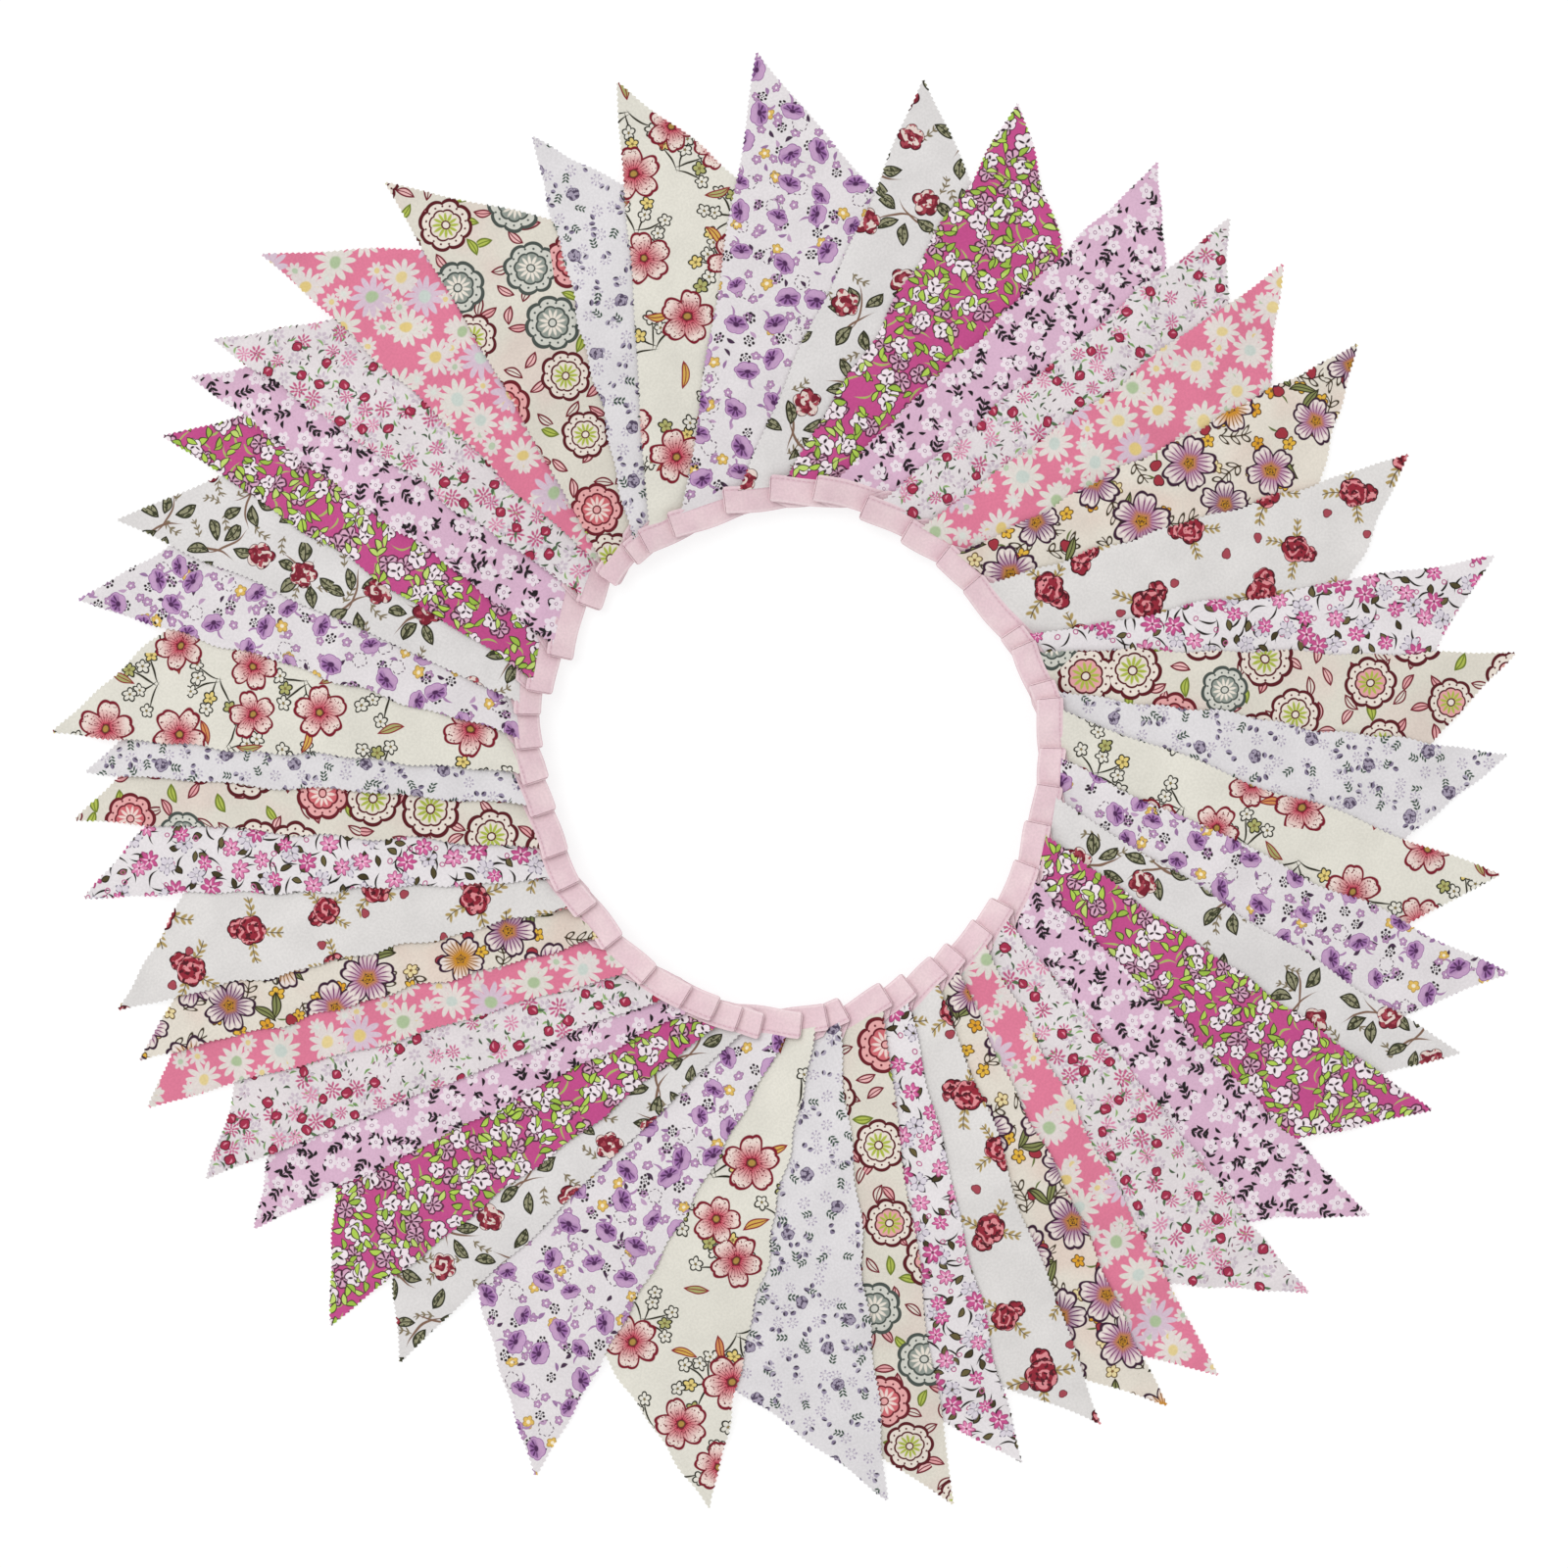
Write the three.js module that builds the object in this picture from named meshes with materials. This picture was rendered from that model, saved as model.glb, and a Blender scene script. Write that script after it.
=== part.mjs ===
// Fabric bunting: 45 cotton pennants sewn to one long tape, laid out in a ring.
// Every pennant lies over the one before it, clockwise all the way round, so no piece is the top one.
// Between two pennants the tape folds back on itself, runs back under the next pennant and folds again.
// Millimetres, +Z up. The ring lies on the plane z = 0, with the origin below the middle of the whole.

import * as THREE from "three";

// Cloth and tape
const CLOTH = 1.0;
const TIP_ANGLE = 47;
const TAPE_WIDTH = 12;
const TAPE = 1.0;
const SEWN_GAP = 0.3;

// The pile: each pennant lies one pitch above the one before it
const PITCH = 3.0;
const COUNT_BLUR = 24;
const FLOOR_LIFT = 0.75;
const RIM_EASE = 45;
const EDGE_FALL = 1.6;

// How far a pennant's base may swing clockwise from its first corner's outward direction, clear of the
// opening
const LEAST_SWING = 72;
const MOST_SWING = 98;

// The last stretch of each tip lies flat on the ground, and a longer one comes down to it
const FLAT_TIP = 10;
const FREE_TIP = 18;

// Rows of a pennant's faces: the share of the way from tape to tip, and the steps across
const ROWS = [
  { share: 0, steps: 8 },
  { share: 0.08, steps: 8 },
  { share: 0.18, steps: 6 },
  { share: 0.32, steps: 5 },
  { share: 0.48, steps: 4 },
  { share: 0.66, steps: 3 },
  { share: 0.91, steps: 2 },
  { share: 0.955, steps: 1 },
  { share: 1, steps: 0 },
];

// Heights of the middle of the tape over a pennant's underside, along the base and on the way back
const RUN_HEIGHT = TAPE / 2;
const RETURN_HEIGHT = RUN_HEIGHT + TAPE + SEWN_GAP;

// Places along a run of tape as shares of the base, closer together near the ring, and steps round a fold
const RUN_SHARES = [0, 0.07, 0.15, 0.25, 0.37, 0.52, 0.68, 0.84, 1];
const FOLD_STEPS = 4;

const PRINTS = {
  poppy: "#d9d2d6",
  briar: "#d9d5d3",
  magenta: "#bb4f84",
  lilac: "#cfaabf",
  ditsy: "#d8d0d2",
  daisy: "#e2809c",
  cosmos: "#d6cac0",
  rose: "#dad6d4",
  blossom: "#dad4d7",
  folk: "#d5ccc1",
  bud: "#d6d3d4",
  coral: "#d6d2c7",
};
const TAPE_PINK = "#d8bfc6";

// One row for each pennant, in the order they are sewn to the tape. The tip and the first corner of the
// base are given as a turn in degrees, clockwise from +Y and counted on past a full circle, and a reach
// from the ring's centre.
const LAY = [
  ["folk", 324.7, 318, 314.1, 109],
  ["bud", 337.3, 304, 321.5, 110],
  ["coral", 345.5, 315, 325.2, 110],
  ["poppy", 357.2, 319, 332.3, 110],
  ["briar", 371.0, 312, 345.1, 112],
  ["magenta", 379.1, 313, 355.3, 114],
  ["lilac", 391.6, 316, 364.9, 115],
  ["ditsy", 399.1, 314, 376.1, 111],
  ["daisy", 404.9, 315, 387.1, 108],
  ["cosmos", 413.8, 317, 397.1, 107],
  ["rose", 423.8, 311, 406.2, 106],
  ["blossom", 434.0, 331, 420.8, 108],
  ["folk", 441.8, 331, 424.3, 109],
  ["bud", 449.8, 324, 433.6, 111],
  ["coral", 459.4, 325, 437.0, 112],
  ["poppy", 466.7, 339, 448.1, 111],
  ["briar", 473.8, 331, 456.5, 110],
  ["magenta", 478.8, 331, 465.4, 109],
  ["lilac", 488.3, 334, 474.9, 110],
  ["ditsy", 495.9, 337, 485.4, 109],
  ["daisy", 505.3, 340, 492.0, 109],
  ["cosmos", 509.8, 339, 500.3, 109],
  ["rose", 515.0, 333, 505.3, 109],
  ["blossom", 521.8, 336, 513.2, 109],
  ["folk", 527.7, 346, 518.8, 109],
  ["bud", 532.5, 339, 529.2, 110],
  ["coral", 546.1, 342, 532.6, 111],
  ["poppy", 559.5, 345, 537.6, 114],
  ["briar", 572.8, 326, 546.0, 115],
  ["magenta", 578.9, 331, 551.0, 114],
  ["lilac", 588.6, 323, 556.4, 112],
  ["ditsy", 594.1, 326, 563.4, 112],
  ["daisy", 601.3, 331, 572.8, 111],
  ["cosmos", 604.9, 325, 583.5, 109],
  ["rose", 609.3, 325, 593.2, 109],
  ["blossom", 618.6, 326, 599.6, 109],
  ["folk", 624.9, 325, 607.3, 108],
  ["bud", 628.7, 319, 617.5, 108],
  ["coral", 631.8, 334, 625.2, 109],
  ["poppy", 642.3, 330, 632.4, 111],
  ["briar", 649.3, 323, 639.7, 113],
  ["magenta", 657.0, 319, 644.8, 110],
  ["lilac", 662.2, 321, 654.0, 107],
  ["ditsy", 665.7, 322, 667.6, 108],
  ["daisy", 673.4, 330, 675.1, 109],
].map(([print, tipTurn, tipReach, cornerTurn, cornerReach], index) => ({
  print,
  index,
  tipTurn,
  tipReach,
  ...cutTriangle(fromCentre(tipTurn, tipReach), fromCentre(cornerTurn, cornerReach)),
}));

// A point on the ground at a turn, clockwise from +Y, and a reach from the ring's centre.
function fromCentre(turn, reach) {
  const angle = THREE.MathUtils.degToRad(turn);
  return new THREE.Vector2(Math.sin(angle), Math.cos(angle)).multiplyScalar(reach);
}

// The triangle of one pennant: its base leaves the first corner clockwise from the side that runs to
// the tip.
function cutTriangle(tip, corner) {
  const side = tip.clone().sub(corner);
  const outward = turnOf(corner);
  const lean = wrap(turnOf(side) - outward);
  const swing = THREE.MathUtils.clamp(lean + 90 - TIP_ANGLE / 2, LEAST_SWING, MOST_SWING);
  const width = 2 * side.length() * Math.sin(THREE.MathUtils.degToRad(TIP_ANGLE / 2));
  const along = fromCentre(outward + swing, 1);
  const across = fromCentre(outward + swing - 90, 1);
  return { tip, corner, along, across, width, far: corner.clone().addScaledVector(along, width) };
}

function turnOf(point) {
  return THREE.MathUtils.radToDeg(Math.atan2(point.x, point.y));
}

function wrap(turn) {
  return THREE.MathUtils.euclideanModulo(turn + 180, 360) - 180;
}

// The turn at which a pennant ends on its clockwise side, at a reach from the ring's centre: out along
// its base to the far corner, then in an easy curve to the tip.
function endTurn({ tipTurn, tipReach, corner, across, far }, reach) {
  const farReach = far.length();
  const opened = Math.acos(corner.dot(across) / Math.hypot(Math.min(reach, farReach), RIM_EASE));
  const baseTurn = tipTurn + wrap(turnOf(across) - tipTurn) + THREE.MathUtils.radToDeg(opened);
  const left = THREE.MathUtils.clamp((tipReach - reach) / (tipReach - farReach), 0, 1);
  return THREE.MathUtils.lerp(tipTurn, baseTurn, left ** EDGE_FALL);
}

// How many pennants end before a turn, at a reach from the ring's centre, with every step blurred into
// a rise.
function endedBefore(turn, reach) {
  const rounds = [-360, 0, 360];
  const steps = LAY.flatMap((pennant) => {
    const past = turn - endTurn(pennant, reach);
    return rounds.map((round) => THREE.MathUtils.smoothstep(past - round, -COUNT_BLUR, COUNT_BLUR));
  });
  return steps.reduce((sum, step) => sum + step, 0) - LAY.length;
}

// The underside of a pennant above the ground: one pitch for each pennant under it.
function underside({ index, tip, tipTurn }, point) {
  const turn = tipTurn + wrap(turnOf(point) - tipTurn);
  const below = index + 0.5 - endedBefore(turn, point.length());
  const settled = THREE.MathUtils.smoothstep(point.distanceTo(tip), FLAT_TIP, FREE_TIP);
  return Math.max(0, PITCH * (below + FLOOR_LIFT) * settled);
}

function lift(pennant, point, height) {
  return new THREE.Vector3(point.x, point.y, underside(pennant, point) + height);
}

// A closed mesh from its points and its triangles.
function solid(name, colour, points, triangles) {
  const geometry = new THREE.BufferGeometry().setFromPoints(points).setIndex(triangles.flat());
  geometry.computeVertexNormals();
  const material = new THREE.MeshStandardMaterial({ color: colour, roughness: 0.9, metalness: 0 });
  const mesh = new THREE.Mesh(geometry, material);
  mesh.name = name;
  return mesh;
}

// The triangles between two rows of numbered points, stepping along whichever row is behind.
function between(lower, upper) {
  const triangles = [];
  const ends = [lower.length - 1, upper.length - 1];
  let [low, high] = [0, 0];
  while (low < ends[0] || high < ends[1]) {
    const stepLow = (low + 1) * ends[1] <= (high + 1) * ends[0] || high === ends[1];
    const third = stepLow ? lower[low + 1] : upper[high + 1];
    triangles.push([lower[low], third, upper[high]]);
    low += stepLow ? 1 : 0;
    high += stepLow ? 0 : 1;
  }
  return triangles;
}

// A pennant's cloth from the tape to the tip: rows of points across it, joined into a top and a bottom
// face and a strip round the edge.
function pennantMesh(pennant) {
  const { tip, corner, far, across } = pennant;
  const trim = (TAPE_WIDTH + SEWN_GAP) / tip.clone().sub(corner).dot(across);
  const places = [];
  const rows = ROWS.map(({ share, steps }) => {
    const up = trim + (1 - trim) * share;
    const start = corner.clone().lerp(tip, up);
    const end = far.clone().lerp(tip, up);
    const shareAt = (step) => (steps ? step / steps : 0);
    const row = Array.from({ length: steps + 1 }, (_, step) => start.clone().lerp(end, shareAt(step)));
    return row.map((place) => places.push(place) - 1);
  });
  const top = rows.slice(1).flatMap((row, before) => between(rows[before], row));
  const farSide = rows.slice(1).map((row) => row.at(-1));
  const nearSide = rows.slice(1, -1).map((row) => row[0]);
  const rim = [...rows[0], ...farSide, ...nearSide.reverse()];
  const under = (point) => point + places.length;
  const bottom = top.map(([a, b, c]) => [under(c), under(b), under(a)]);
  const edge = rim.flatMap((here, step) => {
    const next = rim[(step + 1) % rim.length];
    return [
      [here, under(here), under(next)],
      [here, under(next), next],
    ];
  });
  const points = [CLOTH, 0].flatMap((height) => places.map((place) => lift(pennant, place, height)));
  const name = `pennant_${String(pennant.index + 1).padStart(2, "0")}`;
  return solid(name, PRINTS[pennant.print], points, [...top, ...bottom, ...edge]);
}

// A flat cross-section of the tape: its sewn face and its other face, each an offset along the run and
// a height.
function flatSection(along, height, sewnUp) {
  const half = sewnUp ? TAPE / 2 : -TAPE / 2;
  return { sewn: [along, height + half], other: [along, height - half] };
}

// The cross-sections round a fold that turns up and back, from one height to another, between two flat
// stretches.
function foldSections(along, low, high, forward) {
  const radius = (high - low) / 2;
  return Array.from({ length: FOLD_STEPS - 1 }, (_, step) => {
    const angle = (Math.PI * (step + 1)) / FOLD_STEPS;
    const at = (reach) => [
      along + forward * reach * Math.sin(angle),
      low + radius - reach * Math.cos(angle),
    ];
    const inner = at(radius - TAPE / 2);
    const outer = at(radius + TAPE / 2);
    return forward > 0 ? { sewn: outer, other: inner } : { sewn: inner, other: outer };
  });
}

// A point of the tape beside a pennant, at an offset along its base, on the tape's ring side or its
// cloth side.
function besideBase({ corner, along, across }, offset, clothSide) {
  return corner.clone().addScaledVector(along, offset).addScaledVector(across, clothSide ? TAPE_WIDTH : 0);
}

// The tape over one pennant's base, with the fold that leads into it. Then comes the fold at the far
// corner and the way back over the same base, up to the first corner of the next pennant.
function tapeSections(pennant, next) {
  const place = ({ sewn, other }) =>
    [false, true].map((clothSide) =>
      [sewn, other].map(([offset, height]) => lift(pennant, besideBase(pennant, offset, clothSide), height)),
    );
  const offsets = RUN_SHARES.map((share) => share * pennant.width);
  const lead = pennant.index > 0 ? foldSections(0, RETURN_HEIGHT - PITCH, RUN_HEIGHT, -1) : [];
  const run = offsets.map((offset) => flatSection(offset, RUN_HEIGHT, false));
  const sections = [...lead, ...run].map(place);
  if (!next) return sections;
  const turned = foldSections(pennant.width, RUN_HEIGHT, RETURN_HEIGHT, 1);
  const nextOffset = next.corner.clone().sub(pennant.corner).dot(pennant.along);
  const back = offsets.filter((offset) => offset > nextOffset + TAPE_WIDTH / 2).reverse();
  const returned = back.map((offset) => flatSection(offset, RETURN_HEIGHT, true));
  sections.push(...[...turned, ...returned].map(place));
  const { sewn, other } = flatSection(0, RETURN_HEIGHT, true);
  const end = [false, true].map((clothSide) =>
    [sewn, other].map(([, height]) => lift(pennant, besideBase(next, 0, clothSide), height)),
  );
  return [...sections, end];
}

// The whole tape: its cross-sections joined in one band, with its two cut ends closed. The two faces of
// a twisted stretch are split along the same diagonal, which keeps the band's thickness.
function tapeMesh() {
  const sections = LAY.flatMap((pennant) => tapeSections(pennant, LAY[pennant.index + 1]));
  const points = sections.flatMap(([[ringSewn, ringOther], [clothSewn, clothOther]]) => [
    ringSewn,
    ringOther,
    clothOther,
    clothSewn,
  ]);
  const end = points.length - 4;
  const triangles = [
    [0, 1, 2],
    [0, 2, 3],
    [end, end + 2, end + 1],
    [end, end + 3, end + 2],
  ];
  for (let start = 0; start < end; start += 4) {
    const [a, b, c, d] = [start, start + 1, start + 2, start + 3];
    const [e, f, g, h] = [start + 4, start + 5, start + 6, start + 7];
    triangles.push([a, e, f], [a, f, b]);
    triangles.push([b, f, g], [b, g, c]);
    triangles.push([c, g, h], [c, h, d]);
    triangles.push([d, h, a], [h, e, a]);
  }
  return solid("tape", TAPE_PINK, points, triangles);
}

const bunting = new THREE.Group();
bunting.add(tapeMesh(), ...LAY.map(pennantMesh));

const middle = new THREE.Box3().setFromObject(bunting).getCenter(new THREE.Vector3());
bunting.position.set(-middle.x, -middle.y, 0);

export default bunting;
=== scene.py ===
"""Fabric bunting: printed cotton pennants with pinked edges on one pale pink tape, laid out in a ring."""

import bpy
import numpy as np
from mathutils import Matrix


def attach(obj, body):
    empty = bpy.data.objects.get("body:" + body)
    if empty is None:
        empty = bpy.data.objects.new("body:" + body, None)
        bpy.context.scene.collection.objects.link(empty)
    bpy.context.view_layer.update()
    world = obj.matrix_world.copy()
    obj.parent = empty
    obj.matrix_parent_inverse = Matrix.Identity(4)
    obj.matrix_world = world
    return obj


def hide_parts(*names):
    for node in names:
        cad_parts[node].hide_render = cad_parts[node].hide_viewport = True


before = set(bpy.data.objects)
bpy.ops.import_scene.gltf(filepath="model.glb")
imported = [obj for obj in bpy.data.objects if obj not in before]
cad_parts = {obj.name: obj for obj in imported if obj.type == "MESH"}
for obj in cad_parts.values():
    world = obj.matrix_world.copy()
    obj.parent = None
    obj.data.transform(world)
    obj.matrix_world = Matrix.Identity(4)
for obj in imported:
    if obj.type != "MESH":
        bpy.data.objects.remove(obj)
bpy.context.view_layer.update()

MM = 0.001

# Sizes of the lay in millimetres and degrees, the same as the solids have
TIP_ANGLE = 47
TAPE_WIDTH = 12
TAPE_THICK = 1.0
SEWN_GAP = 0.3
PITCH = 3.0
COUNT_BLUR = 24
FLOOR_LIFT = 0.75
RIM_EASE = 45
EDGE_FALL = 1.6
LEAST_SWING, MOST_SWING = 72, 98
RUN_HEIGHT = TAPE_THICK / 2
RETURN_HEIGHT = RUN_HEIGHT + TAPE_THICK + SEWN_GAP

# The cut of a pennant: its cloth, its pinked teeth, its tucked-in top, its tip and its swaying sides
COTTON_THICK = 0.4
TOOTH_PITCH, TOOTH_DEPTH, DEEPEST_CUT = 2.6, 0.9, 0.3
STEPS_ACROSS = 16
TUCKED_IN = 2.0
TIP_WIDTH = 1.6
SIDE_SWAY, SWAY_APART = 2.2, 500
SWAY_LENGTHS = [23, 38, 61]
FIRST_SEED = 100

# The fall of a pennant: soft waves, the slope to its tip and the droop of its first side, free of the tape
LEAST_GAP, UNEVENNESS, WAVE_SEED = 0.15, 0.5, 7
UNEVEN_LENGTHS = [70, 95, 130]
FLAT_TIP, TIP_SLOPE = 10, 60
MOST_SINK = 1.9
PENNANTS_UNDER, COVER_EDGE = 4, 14
DROOP, DROOP_REACH, DROOP_WAVE = 2.35, 11.0, 0.14
DROOP_LENGTHS = [28, 47, 80]
HELD_TO, FREE_FROM = 1.2 * TAPE_WIDTH, 2.0 * TAPE_WIDTH

# The flat cloth: millimetres to one unit of its map, and how far apart pennants may be cut from it
CLOTH_UNIT = 100
CLOTH_SPREAD = 400

# The angle between two faces, in degrees, past which their edge is shaded sharp
SHARP_ANGLE = 50

# One row for each pennant along the tape: its print, then its tip and the first corner of its base, each as a
# turn clockwise from +Y and a reach from the ring's centre
LAY = [
    ("folk", 324.7, 318, 314.1, 109),
    ("bud", 337.3, 304, 321.5, 110),
    ("coral", 345.5, 315, 325.2, 110),
    ("poppy", 357.2, 319, 332.3, 110),
    ("briar", 371.0, 312, 345.1, 112),
    ("magenta", 379.1, 313, 355.3, 114),
    ("lilac", 391.6, 316, 364.9, 115),
    ("ditsy", 399.1, 314, 376.1, 111),
    ("daisy", 404.9, 315, 387.1, 108),
    ("cosmos", 413.8, 317, 397.1, 107),
    ("rose", 423.8, 311, 406.2, 106),
    ("blossom", 434.0, 331, 420.8, 108),
    ("folk", 441.8, 331, 424.3, 109),
    ("bud", 449.8, 324, 433.6, 111),
    ("coral", 459.4, 325, 437.0, 112),
    ("poppy", 466.7, 339, 448.1, 111),
    ("briar", 473.8, 331, 456.5, 110),
    ("magenta", 478.8, 331, 465.4, 109),
    ("lilac", 488.3, 334, 474.9, 110),
    ("ditsy", 495.9, 337, 485.4, 109),
    ("daisy", 505.3, 340, 492.0, 109),
    ("cosmos", 509.8, 339, 500.3, 109),
    ("rose", 515.0, 333, 505.3, 109),
    ("blossom", 521.8, 336, 513.2, 109),
    ("folk", 527.7, 346, 518.8, 109),
    ("bud", 532.5, 339, 529.2, 110),
    ("coral", 546.1, 342, 532.6, 111),
    ("poppy", 559.5, 345, 537.6, 114),
    ("briar", 572.8, 326, 546.0, 115),
    ("magenta", 578.9, 331, 551.0, 114),
    ("lilac", 588.6, 323, 556.4, 112),
    ("ditsy", 594.1, 326, 563.4, 112),
    ("daisy", 601.3, 331, 572.8, 111),
    ("cosmos", 604.9, 325, 583.5, 109),
    ("rose", 609.3, 325, 593.2, 109),
    ("blossom", 618.6, 326, 599.6, 109),
    ("folk", 624.9, 325, 607.3, 108),
    ("bud", 628.7, 319, 617.5, 108),
    ("coral", 631.8, 334, 625.2, 109),
    ("poppy", 642.3, 330, 632.4, 111),
    ("briar", 649.3, 323, 639.7, 113),
    ("magenta", 657.0, 319, 644.8, 110),
    ("lilac", 662.2, 321, 654.0, 107),
    ("ditsy", 665.7, 322, 667.6, 108),
    ("daisy", 673.4, 330, 675.1, 109),
]
PENNANTS = range(len(LAY))


def from_centre(turn, reach):
    """Points on the ground: reach times the sine and the cosine of the turn."""
    angle = np.radians(turn)
    return np.stack([np.sin(angle), np.cos(angle)], -1) * np.asarray(reach, float)[..., None]


def turn_of(points):
    """The turn of points clockwise from +Y, in degrees."""
    return np.degrees(np.arctan2(points[..., 0], points[..., 1]))


def wrap(turn):
    """A turn brought to between -180 and 180 degrees."""
    return (turn + 180) % 360 - 180


def smooth(value, low, high):
    """An easy rise from 0 at low to 1 at high: 3 t squared less 2 t cubed."""
    t = np.clip((value - low) / (high - low), 0, 1)
    return t * t * (3 - 2 * t)


TIP_TURN, TIP_REACH, CORNER_TURN, CORNER_REACH = np.array([row[1:] for row in LAY], float).T
TIP = from_centre(TIP_TURN, TIP_REACH)
CORNER = from_centre(CORNER_TURN, CORNER_REACH)
SIDE = TIP - CORNER
SWING = np.clip(wrap(turn_of(SIDE) - CORNER_TURN) + 90 - TIP_ANGLE / 2, LEAST_SWING, MOST_SWING)
ALONG = from_centre(CORNER_TURN + SWING, np.ones(len(LAY)))
ACROSS = from_centre(CORNER_TURN + SWING - 90, np.ones(len(LAY)))
WIDTH = 2 * np.linalg.norm(SIDE, axis=-1) * np.sin(np.radians(TIP_ANGLE / 2))
DROP = (SIDE * ACROSS).sum(-1)
FAR = CORNER + ALONG * WIDTH[:, None]
FAR_REACH = np.linalg.norm(FAR, axis=-1)
BASE_REACH = (CORNER * ACROSS).sum(-1)
BASE_TURN = TIP_TURN + wrap(turn_of(ACROSS) - TIP_TURN)
MIDDLE = (TIP.min(0) + TIP.max(0)) / 2


def end_turns(reach):
    """The turn at which each pennant ends, at some reaches: out along its base, the turn of its foot plus the
    arc cosine of foot over eased reach, and past the far corner in a power curve to the tip."""
    reach = np.asarray(reach)[..., None]
    opened = np.arccos(BASE_REACH / np.hypot(np.minimum(reach, FAR_REACH), RIM_EASE))
    left = np.clip((TIP_REACH - reach) / (TIP_REACH - FAR_REACH), 0, 1)
    return TIP_TURN + (BASE_TURN + np.degrees(opened) - TIP_TURN) * left**EDGE_FALL


def ended_before(turn, reach):
    """How many pennants end before a turn: the sum of an easy rise across each end, over three rounds."""
    past = turn[..., None] - end_turns(reach)
    rounds = np.array([-360, 0, 360])
    return smooth(past[..., None] - rounds, -COUNT_BLUR, COUNT_BLUR).sum((-1, -2)) - len(LAY)


def stacked(n, points):
    """Height of a pennant's underside in the stack: one pitch for each pennant under it."""
    turn = TIP_TURN[n] + wrap(turn_of(points) - TIP_TURN[n])
    below = n + 0.5 - ended_before(turn, np.linalg.norm(points, axis=-1))
    return np.maximum(0, PITCH * (below + FLOOR_LIFT))


def inside_by(n, points):
    """How far points lie inside a pennant's outline, below 0 outside: the least distance from a side."""
    corners = np.stack([CORNER[n], FAR[n], TIP[n]])
    sides = np.roll(corners, -1, axis=0) - corners
    away = points[..., None, :] - corners
    crossed = sides[:, 0] * away[..., 1] - sides[:, 1] * away[..., 0]
    return (crossed / np.linalg.norm(sides, axis=-1)).min(-1)


def sunk(n, points):
    """How far a pennant sinks from the stack towards its tip: down to the ground where no pennant lies under
    it, and else by what the gap to that one gives, easing in over the length of the slope."""
    under = [inside_by((n - down) % len(LAY), points) for down in range(1, PENNANTS_UNDER + 1)]
    covered = smooth(np.max(under, axis=0), -COVER_EDGE, 0)
    room = covered * MOST_SINK + (1 - covered) * stacked(n, points)
    return room * (1 - smooth(np.linalg.norm(points - TIP[n], axis=-1), FLAT_TIP / 2, TIP_SLOPE))


def placed(points, heights):
    """Points of the ring and their heights, in millimetres, as points of the frame in metres."""
    return np.concatenate([points - MIDDLE, heights[..., None]], -1) * MM


def put_mesh(name, points, quads, flat):
    """A piece of numbered points and four-cornered faces, with a place on its flat cloth for every point."""
    mesh = bpy.data.meshes.new(name)
    mesh.vertices.add(len(points))
    mesh.vertices.foreach_set("co", points.astype(np.float32).ravel())
    mesh.loops.add(quads.size)
    mesh.loops.foreach_set("vertex_index", quads.astype(np.int32).ravel())
    mesh.polygons.add(len(quads))
    mesh.polygons.foreach_set("loop_start", np.arange(0, quads.size, 4, dtype=np.int32))
    mesh.update(calc_edges=True)
    mesh.validate()
    layer = mesh.uv_layers.new(name="flat_cloth")
    layer.data.foreach_set("uv", flat[quads.ravel()].astype(np.float32).ravel())
    mesh.polygons.foreach_set("use_smooth", np.ones(len(quads), bool))
    mesh.set_sharp_from_angle(angle=np.radians(SHARP_ANGLE))
    piece = bpy.data.objects.new(name, mesh)
    bpy.context.scene.collection.objects.link(piece)
    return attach(piece, "root")


def sheet_quads(rows, columns):
    """Faces of a closed sheet whose points are a top grid and then a bottom grid: both grids and the rim."""
    grid = np.arange(rows * columns).reshape(rows, columns)
    under = grid + grid.size
    cells = [grid[:-1, :-1], grid[:-1, 1:], grid[1:, 1:], grid[1:, :-1]]
    top = np.stack(cells, -1).reshape(-1, 4)
    rim = np.concatenate([grid[0, :], grid[1:, -1], grid[-1, -2::-1], grid[-2:0:-1, 0]])
    onward = np.roll(rim, -1)
    side = np.stack([rim, rim + grid.size, onward + grid.size, onward], -1)
    return np.concatenate([top, under.ravel()[top][:, ::-1], side])


def waves(along, across, draws, lengths):
    """A soft unevenness between -1 and 1: the mean of sine waves, each with a drawn direction and start."""
    directions, starts = draws.uniform(0, 2 * np.pi, (2, len(lengths)))
    turns = 2 * np.pi / np.asarray(lengths)
    phase = along[..., None] * np.cos(directions) + across[..., None] * np.sin(directions)
    return np.sin(phase * turns + starts).mean(-1)


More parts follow.
